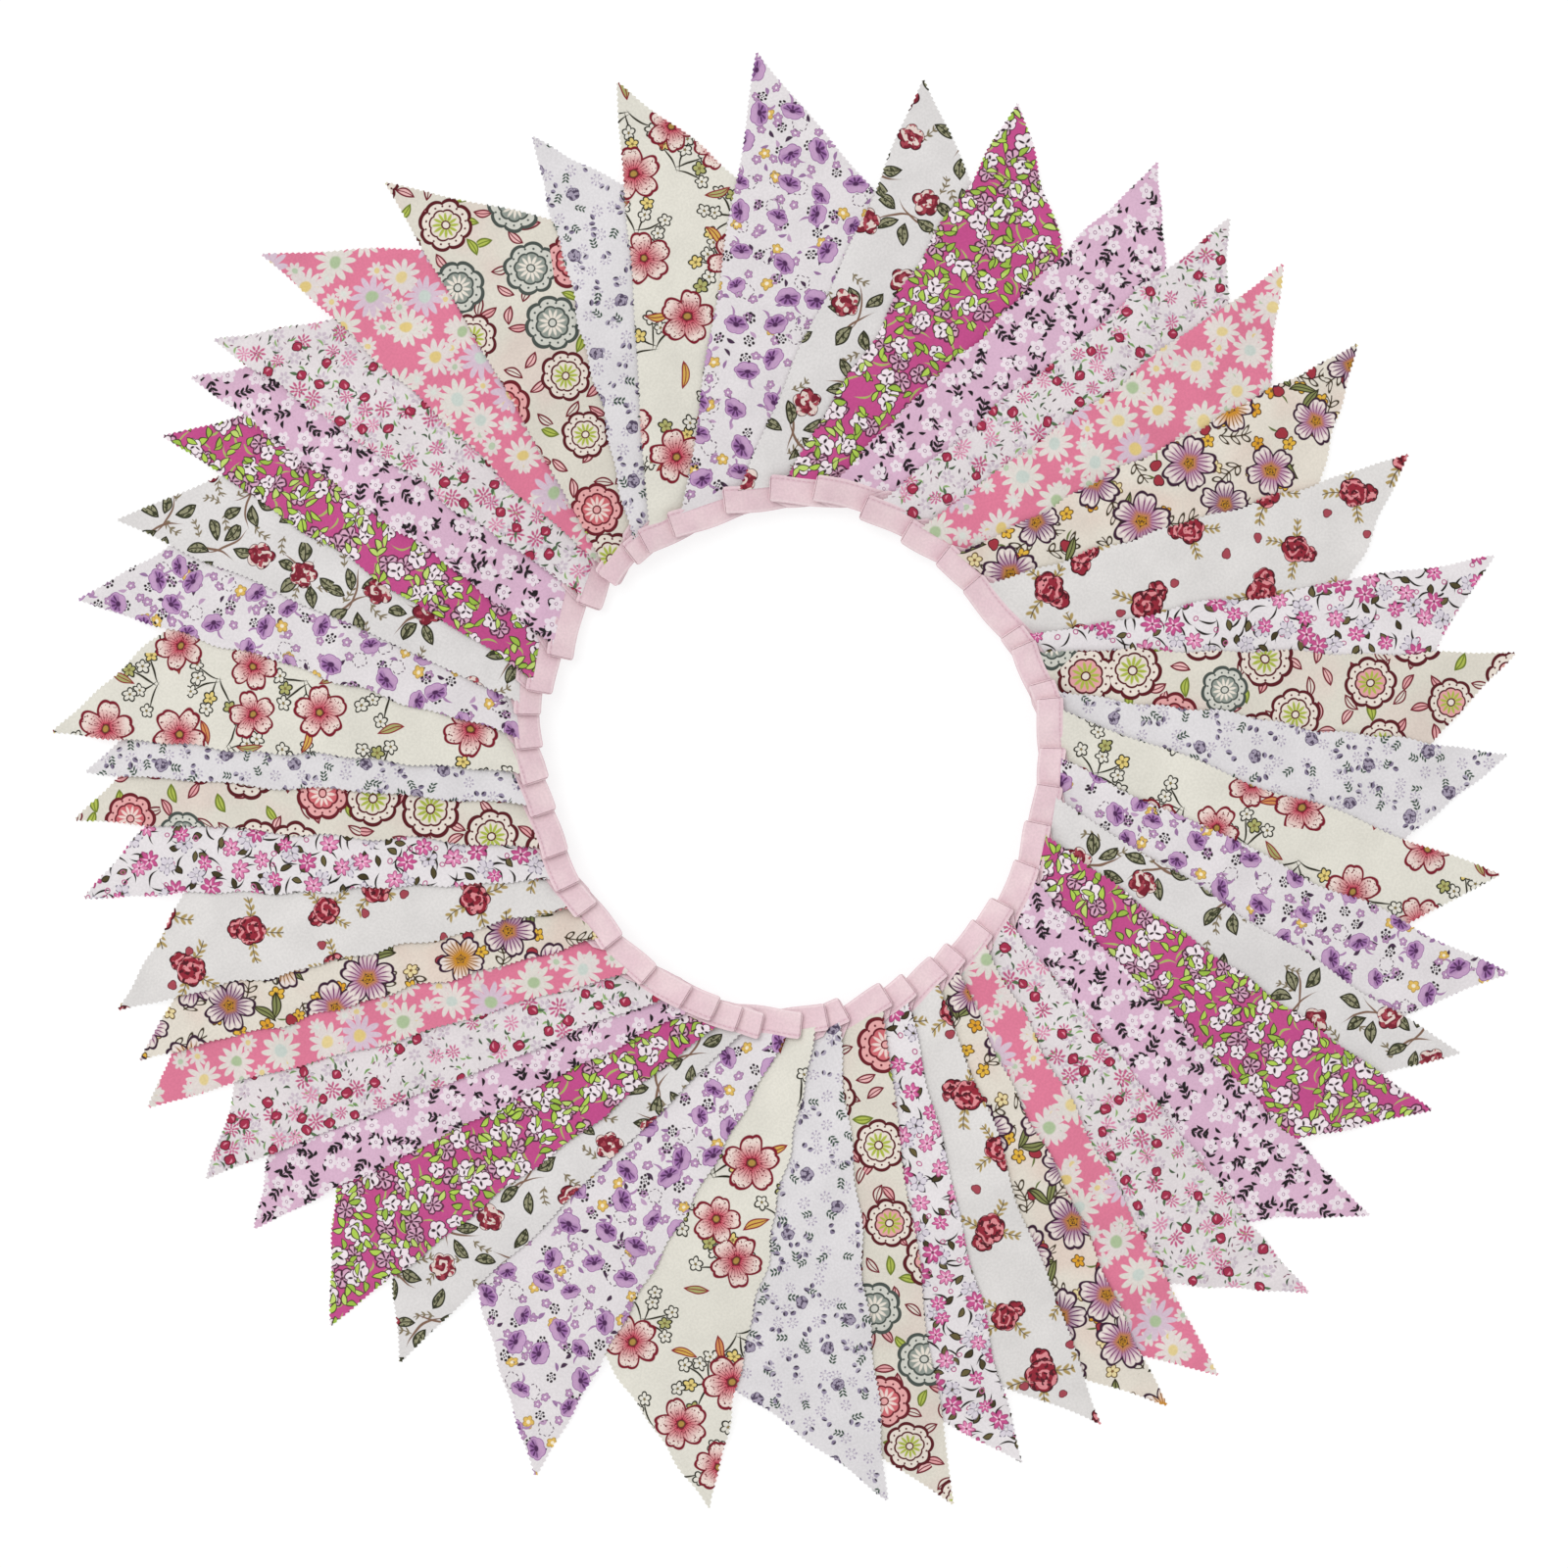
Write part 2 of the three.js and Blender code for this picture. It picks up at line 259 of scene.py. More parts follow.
def pennant_grid(n, draws):
    """Points of a pennant in rows from the tape to the tip, and how far each lies from the first side. A row
    runs between the two sides, which sway a little, and every second row is drawn in at both ends, which
    makes the pinked teeth."""
    rows = 2 * int(np.linalg.norm(SIDE[n]) / TOOTH_PITCH) + 1
    start = (TAPE_WIDTH - TUCKED_IN) / DROP[n]
    up = np.linspace(start, 1 - TIP_WIDTH / WIDTH[n], rows)[:, None]
    span = WIDTH[n] * (1 - up)
    notch = np.where(np.arange(rows) % 2 == 1, TOOTH_DEPTH, 0)[:, None]
    cut = np.minimum(notch / span, DEEPEST_CUT)
    share = cut + (1 - 2 * cut) * np.linspace(0, 1, STEPS_ACROSS + 1)
    free = np.sqrt(np.sin(np.pi * up))
    sway = SIDE_SWAY * free * waves(up * DROP[n], np.array([[0, SWAY_APART]]), draws, SWAY_LENGTHS)
    first = CORNER[n] + (TIP[n] - CORNER[n]) * up + ALONG[n] * sway[:, :1]
    second = FAR[n] + (TIP[n] - FAR[n]) * up + ALONG[n] * sway[:, 1:]
    return first[:, None] + (second - first)[:, None] * share[..., None], share * span


def pennant_heights(n, points, flat, from_side, draws):
    """Heights of a pennant's underside: those of the stack plus soft waves that all pennants share, less its
    sinking to the tip or the droop of its first side, whichever is more. The droop dies away from that side
    as an exponential, and begins past the tape."""
    shared = np.random.default_rng(WAVE_SEED)
    uneven = 0.5 + 0.5 * waves(points[..., 0], points[..., 1], shared, UNEVEN_LENGTHS)
    along, across = flat[..., 0], flat[..., 1]
    ripple = 1 - DROOP_WAVE + DROOP_WAVE * waves(along, across, draws, DROOP_LENGTHS)
    droop = DROOP * np.exp(-from_side / DROOP_REACH) * ripple * smooth(across, HELD_TO, FREE_FROM)
    lowered = np.maximum(sunk(n, points), droop)
    return np.maximum(0, stacked(n, points) - lowered + UNEVENNESS * uneven) + LEAST_GAP


def cut_from_cloth(flat, draws):
    """A pennant's flat points on the printed cloth: turned by a drawn angle and moved to a drawn spot."""
    spot = draws.uniform(0, CLOTH_SPREAD, 2)
    turn = draws.uniform(0, 2 * np.pi)
    turned = flat.reshape(-1, 2) @ np.array([[np.cos(turn), np.sin(turn)], [-np.sin(turn), np.cos(turn)]])
    return (turned + spot) / CLOTH_UNIT


def pennant_piece(n):
    """A closed sheet: the grid of a pennant at its heights and again a cloth's thickness over them."""
    draws = np.random.default_rng(FIRST_SEED + n)
    points, from_side = pennant_grid(n, draws)
    away = points - CORNER[n]
    flat = np.stack([(away * ALONG[n]).sum(-1), (away * ACROSS[n]).sum(-1)], -1)
    heights = pennant_heights(n, points, flat, from_side, draws)
    top = placed(points, heights + COTTON_THICK).reshape(-1, 3)
    bottom = placed(points, heights).reshape(-1, 3)
    cut = cut_from_cloth(flat, draws)
    quads = sheet_quads(*points.shape[:2])
    name = f"printed_pennant_{n + 1:02d}"
    piece = put_mesh(name, np.concatenate([top, bottom]), quads, np.concatenate([cut, cut]))
    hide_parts(f"pennant_{n + 1:02d}")
    return piece


# The tape: steps along a run and round a fold, its turn to the next pennant, its rounded corners, its cloth,
# its flattened folds and its sway
RUN_STEPS = 40
FOLD_STEPS = 8
TURN_LENGTH = TAPE_WIDTH / 2
CORNER_ROUND = 1.4
TAPE_CLOTH = 0.7
FOLD_FLATNESS = 0.45
TAPE_SWAY, SWAY_LENGTH = 0.5, 37.0

# Outline of the tape's cross-section: shares of its width and of its thickness
TAPE_OUTLINE = np.array(
    [(0.0, 0.2), (0.03, 0.42), (0.1, 0.5), (0.9, 0.5), (0.97, 0.42), (1.0, 0.2)]
    + [(1.0, -0.2), (0.97, -0.42), (0.9, -0.5), (0.1, -0.5), (0.03, -0.42), (0.0, -0.2)]
)


def fold(along, low, high, forward):
    """Offsets, heights and directions round a flattened half circle, up and back between two heights."""
    angle = np.pi * np.arange(1, FOLD_STEPS) / FOLD_STEPS
    radius = (high - low) / 2
    offsets = along + forward * FOLD_FLATNESS * radius * np.sin(angle)
    heights = low + radius - radius * np.cos(angle)
    return offsets, heights, forward * np.sin(angle), -np.cos(angle)


def tape_run(n):
    """The tape beside one pennant as offsets along its base, heights over its underside and the face's
    direction: the fold that leads in, the run out, the fold at the far corner and the way back to the next
    pennant."""
    offsets = np.linspace(0, 1, RUN_STEPS + 1) ** 2 * WIDTH[n]
    still = np.zeros_like(offsets)
    parts = [(offsets, still + RUN_HEIGHT, still, still - 1)]
    if n > 0:
        parts.insert(0, fold(0, RETURN_HEIGHT - PITCH, RUN_HEIGHT, -1))
    if n + 1 < len(LAY):
        onward = ((CORNER[n + 1] - CORNER[n]) * ALONG[n]).sum()
        back = offsets[offsets > onward + TURN_LENGTH][::-1]
        still = np.zeros_like(back)
        parts.append(fold(WIDTH[n], RUN_HEIGHT, RETURN_HEIGHT, 1))
        parts.append((back, still + RETURN_HEIGHT, still, still + 1))
    return [np.concatenate(column) for column in zip(*parts)]


def tape_piece():
    """A rounded flat profile carried along the whole zigzag of the tape: for each place along it, across the
    width by the outline's first number and through the thickness by its second."""
    strips, stretched = [], 0.0
    wide, deep = TAPE_OUTLINE.T
    for n in PENNANTS:
        offsets, heights, lean, face = tape_run(n)
        out = np.stack([offsets, heights], -1)
        steps = np.linalg.norm(np.diff(out, axis=0, prepend=out[:1]), axis=-1)
        length = stretched + np.cumsum(steps)
        stretched = length[-1] + TURN_LENGTH
        reach = offsets[:, None] + lean[:, None] * deep * TAPE_CLOTH
        height = heights[:, None] + face[:, None] * deep * TAPE_CLOTH
        short = np.clip(CORNER_ROUND - (offsets - offsets.min()), 0, CORNER_ROUND)[:, None]
        drawn_in = CORNER_ROUND - np.sqrt(CORNER_ROUND**2 - short**2)
        sway = TAPE_SWAY * np.sin(length * 2 * np.pi / SWAY_LENGTH)
        sideways = drawn_in + wide * (TAPE_WIDTH - 2 * drawn_in) + sway[:, None]
        points = CORNER[n] + ALONG[n] * reach[..., None] + ACROSS[n] * sideways[..., None]
        body = placed(points, stacked(n, points) + height)
        flat = np.stack(np.broadcast_arrays(length[:, None], wide * TAPE_WIDTH), -1) / CLOTH_UNIT
        strips.append((body, flat))
    points = np.concatenate([body for body, _ in strips])
    flat = np.concatenate([flat for _, flat in strips]).reshape(-1, 2)
    count, around = points.shape[:2]
    grid = np.arange(count * around).reshape(count, around)
    onward = np.roll(grid, -1, axis=1)
    quads = np.stack([grid[:-1], grid[1:], onward[1:], onward[:-1]], -1).reshape(-1, 4)
    half = np.arange(around // 2 - 1)
    cap = np.stack([half, half + 1, around - 2 - half, around - 1 - half], -1)
    quads = np.concatenate([quads, grid[0][cap], grid[-1][cap][:, ::-1]])
    piece = put_mesh("pink_tape", points.reshape(-1, 3), quads, flat)
    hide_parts("tape")
    return piece


def linear(code):
    """A colour written as six hexadecimal digits, as the linear light that a shader takes."""
    part = np.array([int(code[place : place + 2], 16) for place in (0, 2, 4)]) / 255
    light = np.where(part <= 0.04045, part / 12.92, ((part + 0.055) / 1.055) ** 2.4)
    return (*light.tolist(), 1.0)


class Drawing:
    """The nodes of one tree. Each method adds a node, or a few, and gives an outlet unless it says else."""

    def __init__(self, tree):
        self.tree = tree

    def add(self, kind, inputs, **settings):
        """A node of some kind, with its settings and with values or outlets at its inlets. Gives the node."""
        node = self.tree.nodes.new(f"ShaderNode{kind}")
        for name, value in settings.items():
            setattr(node, name, value)
        for place, value in inputs.items():
            self.set(node.inputs[place], value)
        return node

    def set(self, inlet, value):
        """Joins an outlet to an inlet, or writes a plain value there."""
        if isinstance(value, bpy.types.NodeSocket):
            self.tree.links.new(value, inlet)
        else:
            inlet.default_value = value

    def math(self, operation, *values, clamp=False):
        """One step of reckoning on numbers."""
        return self.add("Math", dict(enumerate(values)), operation=operation, use_clamp=clamp).outputs[0]

    def vector(self, operation, first, second=None, scale=None):
        """One step of reckoning on places or colours."""
        inputs = {0: first}
        if second is not None:
            inputs[1] = second
        if scale is not None:
            inputs["Scale"] = scale
        return self.add("VectorMath", inputs, operation=operation).outputs[0]

    def length(self, place):
        """How far a place is from the middle."""
        return self.add("VectorMath", {0: place}, operation="LENGTH").outputs["Value"]

    def join(self, right, up, over=0.0):
        """A place made of its three distances."""
        return self.add("CombineXYZ", {0: right, 1: up, 2: over}).outputs[0]

    def turned(self, place, angle):
        """A place turned round the middle by an angle."""
        return self.add("VectorRotate", {"Vector": place, "Angle": angle}, rotation_type="Z_AXIS").outputs[0]

    def group(self, tree, **inputs):
        """A node group with values at its named inlets. Gives its outlets."""
        return self.add("Group", inputs, node_tree=tree).outputs

    def fill(self, edge, soft=0.3):
        """1 inside an outline and 0 outside: half plus the distance inside it over a soft width."""
        return self.math("MULTIPLY_ADD", edge, 1 / soft, 0.5, clamp=True)

    def line(self, edge, width, soft=0.25):
        """A drawn line of some width along an outline: half plus what the width leaves of the distance."""
        away = self.math("ABSOLUTE", edge)
        return self.math("MULTIPLY_ADD", away, -1 / soft, width / 2 / soft + 0.5, clamp=True)

    def fade(self, value, full, none):
        """A straight fade from 1 at one value to 0 at another."""
        return self.math("MULTIPLY_ADD", value, 1 / (full - none), none / (none - full), clamp=True)

    def both(self, *masks):
        """Where all masks hold: their product."""
        out = masks[0]
        for mask in masks[1:]:
            out = self.math("MULTIPLY", out, mask)
        return out

    def mix(self, mask, first, second):
        """The first colour, or the second where a mask holds."""
        node = self.tree.nodes.new("ShaderNodeMix")
        node.data_type = "RGBA"
        for name, value in {"Factor": mask, "A": first, "B": second}.items():
            self.set(next(i for i in node.inputs if i.name == name and i.enabled), value)
        return next(o for o in node.outputs if o.enabled)


def new_group(name, inputs, outputs):
    """An empty node group with named inlets and outlets, as a drawing with its two end nodes."""
    tree = bpy.data.node_groups.new(name, "ShaderNodeTree")
    for label in inputs:
        kind = "NodeSocketVector" if label == "Cloth" else "NodeSocketFloat"
        tree.interface.new_socket(label, in_out="INPUT", socket_type=kind)
    for label in outputs:
        tree.interface.new_socket(label, in_out="OUTPUT", socket_type="NodeSocketFloat")
    start = tree.nodes.new("NodeGroupInput").outputs
    end = tree.nodes.new("NodeGroupOutput").inputs
    return Drawing(tree), start, end


def close_group(draw, end, *values):
    """Joins the values to a group's outlets in order, and gives the group."""
    for place, value in zip(end, values):
        draw.tree.links.new(value, place)
    return draw.tree


# How far one step of a seed moves a pattern: in cells for spots, and in millimetres for noise
SEED_STEP = (17.31, 9.17, 0.0)
NOISE_STEP = (31.7, 11.3, 0.0)


def scatter_group():
    """Spots spread over the cloth, one to each cell of a jittered grid. Gives where a point of the cloth is
    from the nearest spot, as sideways and upward distance turned by a drawn angle, distance, direction and
    two draws."""
    labels = ["X", "Y", "Away", "Angle", "Pick", "Pick2"]
    draw, start, end = new_group("spots_on_cloth", ["Cloth", "Size", "Jitter", "Seed"], labels)
    cells = draw.vector("DIVIDE", start["Cloth"], draw.join(start["Size"], start["Size"], 1.0))
    moved = draw.vector("ADD", cells, draw.vector("SCALE", SEED_STEP, scale=start["Seed"]))
    inputs = {"Vector": moved, "Scale": 1.0, "Randomness": start["Jitter"]}
    cell = draw.add("TexVoronoi", inputs, voronoi_dimensions="2D", feature="F1").outputs
    local = draw.vector("SCALE", draw.vector("SUBTRACT", moved, cell["Position"]), scale=start["Size"])
    drawn = draw.add("SeparateColor", {0: cell["Color"]}).outputs
    turn = draw.math("MULTIPLY", drawn[0], 2 * np.pi)
    part = draw.add("SeparateXYZ", {0: draw.turned(local, turn)}).outputs
    angle = draw.math("ARCTAN2", part[1], part[0])
    return close_group(draw, end, part[0], part[1], draw.length(local), angle, drawn[1], drawn[2])


def set_off_group():
    """A second spot beside a first: the distances less its offset, turned back by its own angle, with their
    length and direction."""
    labels = ["X", "Y", "Away", "Angle"]
    draw, start, end = new_group("set_off_spot", ["X", "Y", "Right", "Up", "Turn"], labels)
    right = draw.math("SUBTRACT", start["X"], start["Right"])
    up = draw.math("SUBTRACT", start["Y"], start["Up"])
    place = draw.turned(draw.join(right, up), draw.math("MULTIPLY", start["Turn"], -1.0))
    part = draw.add("SeparateXYZ", {0: place}).outputs
    angle = draw.math("ARCTAN2", part[1], part[0])
    return close_group(draw, end, part[0], part[1], draw.length(place), angle)


def bloom_group():
    """A flower's outline: its distance inside the edge, where the edge lies at the size less a notch between
    petals, which follows the cosine of half the petals' count times the direction, to a power."""
    draw, start, end = new_group("bloom", ["Away", "Angle", "Petals", "Size", "Notch", "Power"], ["Edge"])
    half = draw.math("MULTIPLY", draw.math("MULTIPLY", start["Angle"], start["Petals"]), 0.5)
    lobe = draw.math("POWER", draw.math("ABSOLUTE", draw.math("COSINE", half)), start["Power"])
    notch = draw.math("MULTIPLY", start["Notch"], draw.math("SUBTRACT", 1.0, lobe))
    reach = draw.math("MULTIPLY", start["Size"], draw.math("SUBTRACT", 1.0, notch))
    return close_group(draw, end, draw.math("SUBTRACT", reach, start["Away"]))


def oval(draw, along, beside, long, wide):
    """Distance inside an oval: half its width times one less the root of the two squared shares out."""
    far = draw.join(draw.math("DIVIDE", along, long), draw.math("DIVIDE", beside, wide))
    return draw.math("MULTIPLY", wide, draw.math("SUBTRACT", 1.0, draw.length(far)))


def petals_group():
    """Petals set evenly round a spot. The direction is folded into half of one petal, which is an oval some
    way out that may lean off the petal's middle line, so that its end is notched. Gives the distance inside
    and the way out."""
    labels = ["Away", "Angle", "Petals", "Middle", "Long", "Wide", "Lean"]
    draw, start, end = new_group("petals", labels, ["Edge", "Out"])
    folded = draw.math("PINGPONG", start["Angle"], draw.math("DIVIDE", np.pi, start["Petals"]))
    out = draw.math("MULTIPLY", start["Away"], draw.math("COSINE", folded))
    leant = draw.math("SUBTRACT", folded, start["Lean"])
    along = draw.math("MULTIPLY", start["Away"], draw.math("COSINE", leant))
    beside = draw.math("MULTIPLY", start["Away"], draw.math("SINE", leant))
    edge = oval(draw, draw.math("SUBTRACT", along, start["Middle"]), beside, start["Long"], start["Wide"])
    return close_group(draw, end, edge, out)


def leaf_group():
    """A pointed leaf's outline: its distance inside the edge, half the width times one less the squared share
    of the way along, less the distance from a bowed midline. Gives also the distance from that midline."""
    draw, start, end = new_group("leaf", ["X", "Y", "Length", "Width", "Bow"], ["Edge", "Side"])
    share = draw.math("DIVIDE", draw.math("MULTIPLY", start["X"], 2.0), start["Length"])
    squared = draw.math("MULTIPLY", share, share)
    side = draw.math("SUBTRACT", start["Y"], draw.math("MULTIPLY", start["Bow"], squared))
    half = draw.math("MULTIPLY", start["Width"], 0.5)
    kept = draw.math("MULTIPLY", half, draw.math("SUBTRACT", 1.0, squared))
    return close_group(draw, end, draw.math("SUBTRACT", kept, draw.math("ABSOLUTE", side)), side)


def sprig_group():
    """A bowed stem with leaves in pairs. The way along it is folded into one pair and the way beside it onto
    one side, where a leaf is a leaning oval. Gives the distances inside a leaf and inside the stem's line."""
    labels = ["X", "Y", "Length", "Pitch", "Long", "Wide", "Lean", "Bow"]
    draw, start, end = new_group("sprig", labels, ["Leaf", "Stem"])
    half = draw.math("MULTIPLY", start["Length"], 0.5)
    share = draw.math("DIVIDE", start["X"], half)
    bowed = draw.math("MULTIPLY", start["Bow"], draw.math("MULTIPLY", share, share))
    side = draw.math("ABSOLUTE", draw.math("SUBTRACT", start["Y"], bowed))
    within = draw.math("SUBTRACT", half, draw.math("ABSOLUTE", start["X"]))
    step = draw.math("MULTIPLY", start["Pitch"], 0.5)
    along = draw.math("WRAP", start["X"], step, draw.math("MULTIPLY", step, -1.0))
    middle = draw.math("MULTIPLY", draw.math("SINE", start["Lean"]), start["Long"])
    place = draw.join(along, draw.math("SUBTRACT", side, middle))
    upright = draw.turned(place, draw.math("MULTIPLY", start["Lean"], -1.0))
    part = draw.add("SeparateXYZ", {0: upright}).outputs
    leaf = oval(draw, part[0], part[1], start["Long"], start["Wide"])
    stem = draw.math("MINIMUM", draw.math("MULTIPLY", side, -1.0), within)
    return close_group(draw, end, draw.math("MINIMUM", leaf, within), stem)


SPOTS, SET_OFF, BLOOM = scatter_group(), set_off_group(), bloom_group()
PETALS, LEAF, SPRIG = petals_group(), leaf_group(), sprig_group()


# The cotton: waves to a millimetre of the drawing's wobble, of curled strokes, of the dye, of thick threads,
# of the weave and of creases, how far dye and threads lighten or darken, and the relief of the weave and of
# creases, with its depth in metres
WOBBLE_SCALE = 0.12
CURL_SCALE, CURL_SEED, CURL_STIR = 0.2, 7.0, 9.0
NOISE_MIDDLE = (0.3, 0.7)
DYE_SCALE, DYE_TONES = 0.05, (0.96, 1.03)
SLUB_SCALE, SLUB_TONES = 0.9, (0.955, 1.035)
THREAD_SCALE, THREAD_STIR, WEAVE_RELIEF = 0.55, 1.5, {"Strength": 0.25, "Distance": 0.00012}
CREASE_SCALE, CREASE_RELIEF = 0.035, {"Strength": 0.5, "Distance": 0.004}
MATT_COTTON = {"Roughness": 0.92, "Specular IOR Level": 0.2, "Sheen Weight": 0.1, "Sheen Roughness": 0.6}


class Cotton(Drawing):
    """A cotton cloth: motifs painted one over another on a ground, on the flat cloth in millimetres. A
    motif's outline is a distance inside its edge, and a mask is 1 where it is painted and 0 elsewhere."""

    def __init__(self, name, ground, wobble=1.6):
        self.material = bpy.data.materials.new(name)
        self.material.use_nodes = True
        super().__init__(self.material.node_tree)
        self.shader = self.tree.nodes["Principled BSDF"]
        flat = self.add("UVMap", {}, uv_map="flat_cloth").outputs[0]
        self.cloth = self.vector("SCALE", flat, scale=float(CLOTH_UNIT))
        inputs = {"Vector": self.cloth, "Scale": WOBBLE_SCALE, "Detail": 0.0}
        shake = self.add("TexNoise", inputs, noise_dimensions="2D").outputs["Color"]
        moved = self.vector("SUBTRACT", shake, (0.5, 0.5, 0.5))
        self.drawn = self.vector("ADD", self.cloth, self.vector("MULTIPLY", moved, (wobble, wobble, 0.0)))
        self.colour = linear(ground)

    def spots(self, size, jitter=0.8, seed=1.0):
        """Spots over the cloth: how far apart, how far off an even grid, and a seed for their places."""
        return self.group(SPOTS, Cloth=self.drawn, Size=size, Jitter=jitter, Seed=seed)

    def set_off(self, spot, right, up, turn=0.0):
        """A spot at some offset from another, turned by some degrees."""
        place = self.group(SET_OFF, X=spot["X"], Y=spot["Y"], Right=right, Up=up, Turn=np.radians(turn))
        moved = {label: place[label] for label in ("X", "Y", "Away", "Angle")}
        return {**moved, "Pick": spot["Pick"], "Pick2": spot["Pick2"]}

    def sized(self, spot, least, most):
        """The same spot with its distances divided by a drawn size, by which a motif on it grows."""
        size = self.math("MULTIPLY_ADD", spot["Pick2"], most - least, least)
        grown = {label: self.math("DIVIDE", spot[label], size) for label in ("X", "Y", "Away")}
        return {**grown, "Angle": spot["Angle"], "Pick": spot["Pick"], "Pick2": spot["Pick2"]}

    def flattened(self, spot, share):
        """The same spot with its upward distances divided by a share, to which a motif on it is flattened."""
        up = self.math("DIVIDE", spot["Y"], share)
        return self.set_off({**spot, "Y": up}, 0.0, 0.0)

    def bloom(self, spot, petals, size, notch, power=0.8):
        """A round flower's outline: its petals' count, its reach, and the depth of its notches as a share."""
        round_spot = {"Away": spot["Away"], "Angle": spot["Angle"]}
        return self.group(BLOOM, **round_spot, Petals=petals, Size=size, Notch=notch, Power=power)[0]

    def petals(self, spot, count, middle, long, wide, lean=0.0):
        """The outline of separate petals: their count, how far out they are, half their length and width, and
        their lean. Gives also the way out along a petal."""
        round_spot = {"Away": spot["Away"], "Angle": spot["Angle"]}
        return self.group(PETALS, **round_spot, Petals=count, Middle=middle, Long=long, Wide=wide, Lean=lean)

    def leaf(self, spot, length, width, bow=0.0, turn=0.0, out=0.0):
        """The outline of a leaf, turned by some degrees and set out from its spot along its own line. Gives
        also the distance from its midline."""
        if turn or out:
            angle = np.radians(turn)
            spot = self.set_off(spot, out * np.cos(angle), out * np.sin(angle), turn)
        return self.group(LEAF, X=spot["X"], Y=spot["Y"], Length=length, Width=width, Bow=bow)

    def sprig(self, spot, length, pitch, long, wide, lean=0.8, bow=0.0):
        """Outlines of a sprig's leaves and stem: its length, the pitch of its pairs and the leaves' size."""
        place = {"X": spot["X"], "Y": spot["Y"], "Length": length, "Pitch": pitch}
        return self.group(SPRIG, **place, Long=long / 2, Wide=wide / 2, Lean=lean, Bow=bow)

    def dot(self, spot, size, soft=0.3):
        """A mask of a filled circle."""
        return self.fill(self.math("SUBTRACT", size, spot["Away"]), soft)

    def ring(self, spot, size, width):
        """A mask of a drawn circle."""
        return self.line(self.math("SUBTRACT", size, spot["Away"]), width)

    def dashes(self, spot, count, share=0.0):
        """Even dashes round a spot: where the sine of the count times the direction is over some share."""
        wave = self.math("SINE", self.math("MULTIPLY", spot["Angle"], float(count)))
        return self.fill(self.math("SUBTRACT", wave, share), 0.4)

    def curls(self, spot, tight, arms, share):
        """Curled strokes round a spot: where the sine of the distance, the direction and a slow noise
        together is over some share."""
        turned = self.math("MULTIPLY", spot["Angle"], float(arms))
        stirred = self.math("MULTIPLY_ADD", self.noise(CURL_SCALE, 1.0, CURL_SEED), CURL_STIR, turned)
        wound = self.math("MULTIPLY_ADD", spot["Away"], tight, stirred)
        return self.fill(self.math("SUBTRACT", self.math("SINE", wound), share), 0.4)

    def over(self, pick, share):
        """A mask of the spots whose draw is over a share."""
        return self.math("GREATER_THAN", pick, share)

    def under(self, pick, share):
        """A mask of the spots whose draw is under a share."""
        return self.math("LESS_THAN", pick, share)

    def paint(self, mask, colour):
        """Lays a colour, as six digits or as an outlet, over the cloth where a mask holds."""
        self.colour = self.mix(mask, self.colour, linear(colour) if isinstance(colour, str) else colour)

    def shape(self, edge, colour, ink=None, width=0.5, shown=None):
        """Paints the inside of an outline, and a drawn line along it, where it is shown. Gives the inside."""
        where = [] if shown is None else [shown]
        inside = self.both(self.fill(edge), *where)
        self.paint(inside, colour)
        if ink is not None:
            self.paint(self.both(self.line(edge, width), *where), ink)
        return inside

    def stem(self, edge, width, colour, shown=None):
        """Paints a stem of some width along the middle line that a sprig gives."""
        self.shape(self.math("ADD", edge, width / 2), colour, shown=shown)

    def pick_colour(self, pick, *codes):
        """One of a few colours by a draw, each with an equal share."""
        colour = linear(codes[0])
        for place, code in enumerate(codes[1:], 1):
            colour = self.mix(self.over(pick, place / len(codes)), colour, linear(code))
        return colour

    def noise(self, scale, detail, seed=0.0):
        """Soft noise over the cloth."""
        place = self.vector("ADD", self.cloth, tuple(seed * step for step in NOISE_STEP))
        inputs = {"Vector": place, "Scale": scale, "Detail": detail}
        return self.add("TexNoise", inputs, noise_dimensions="2D").outputs[0]

    def tone(self, noise, darkest, lightest):
        """A shade that follows the middle of a noise from its darkest to its lightest."""
        low, high = NOISE_MIDDLE
        return self.add("MapRange", {0: noise, 1: low, 2: high, 3: darkest, 4: lightest}).outputs[0]

    def speckle(self, scale, low, high, seed=0.0):
        """Ragged specks of noise: 0 below one level and 1 above another."""
        return self.add("MapRange", {0: self.noise(scale, 2.0, seed), 1: low, 2: high}).outputs[0]

    def finish(self):
        """Weave and creases as bump, faint unevenness of the dye and the threads, and a matt shader."""
        dye = self.tone(self.noise(DYE_SCALE, 3.0), *DYE_TONES)
        slub = self.tone(self.noise(SLUB_SCALE, 1.0, 3.0), *SLUB_TONES)
        toned = self.vector("SCALE", self.colour, scale=self.math("MULTIPLY", dye, slub))
        self.tree.links.new(toned, self.shader.inputs["Base Color"])
        inputs = {"Vector": self.cloth, "Scale": THREAD_SCALE, "Distortion": THREAD_STIR}
        threads = [self.add("TexWave", inputs, bands_direction=way).outputs["Fac"] for way in ("X", "Y")]
        woven = {**WEAVE_RELIEF, "Height": self.math("MULTIPLY", *threads)}
        creased = {**CREASE_RELIEF, "Height": self.noise(CREASE_SCALE, 2.5)}
        weave = self.add("Bump", woven).outputs[0]
        bump = self.add("Bump", {**creased, "Normal": weave}).outputs[0]
        self.tree.links.new(bump, self.shader.inputs["Normal"])
        for name, value in MATT_COTTON.items():
            self.shader.inputs[name].default_value = value
        return self.material


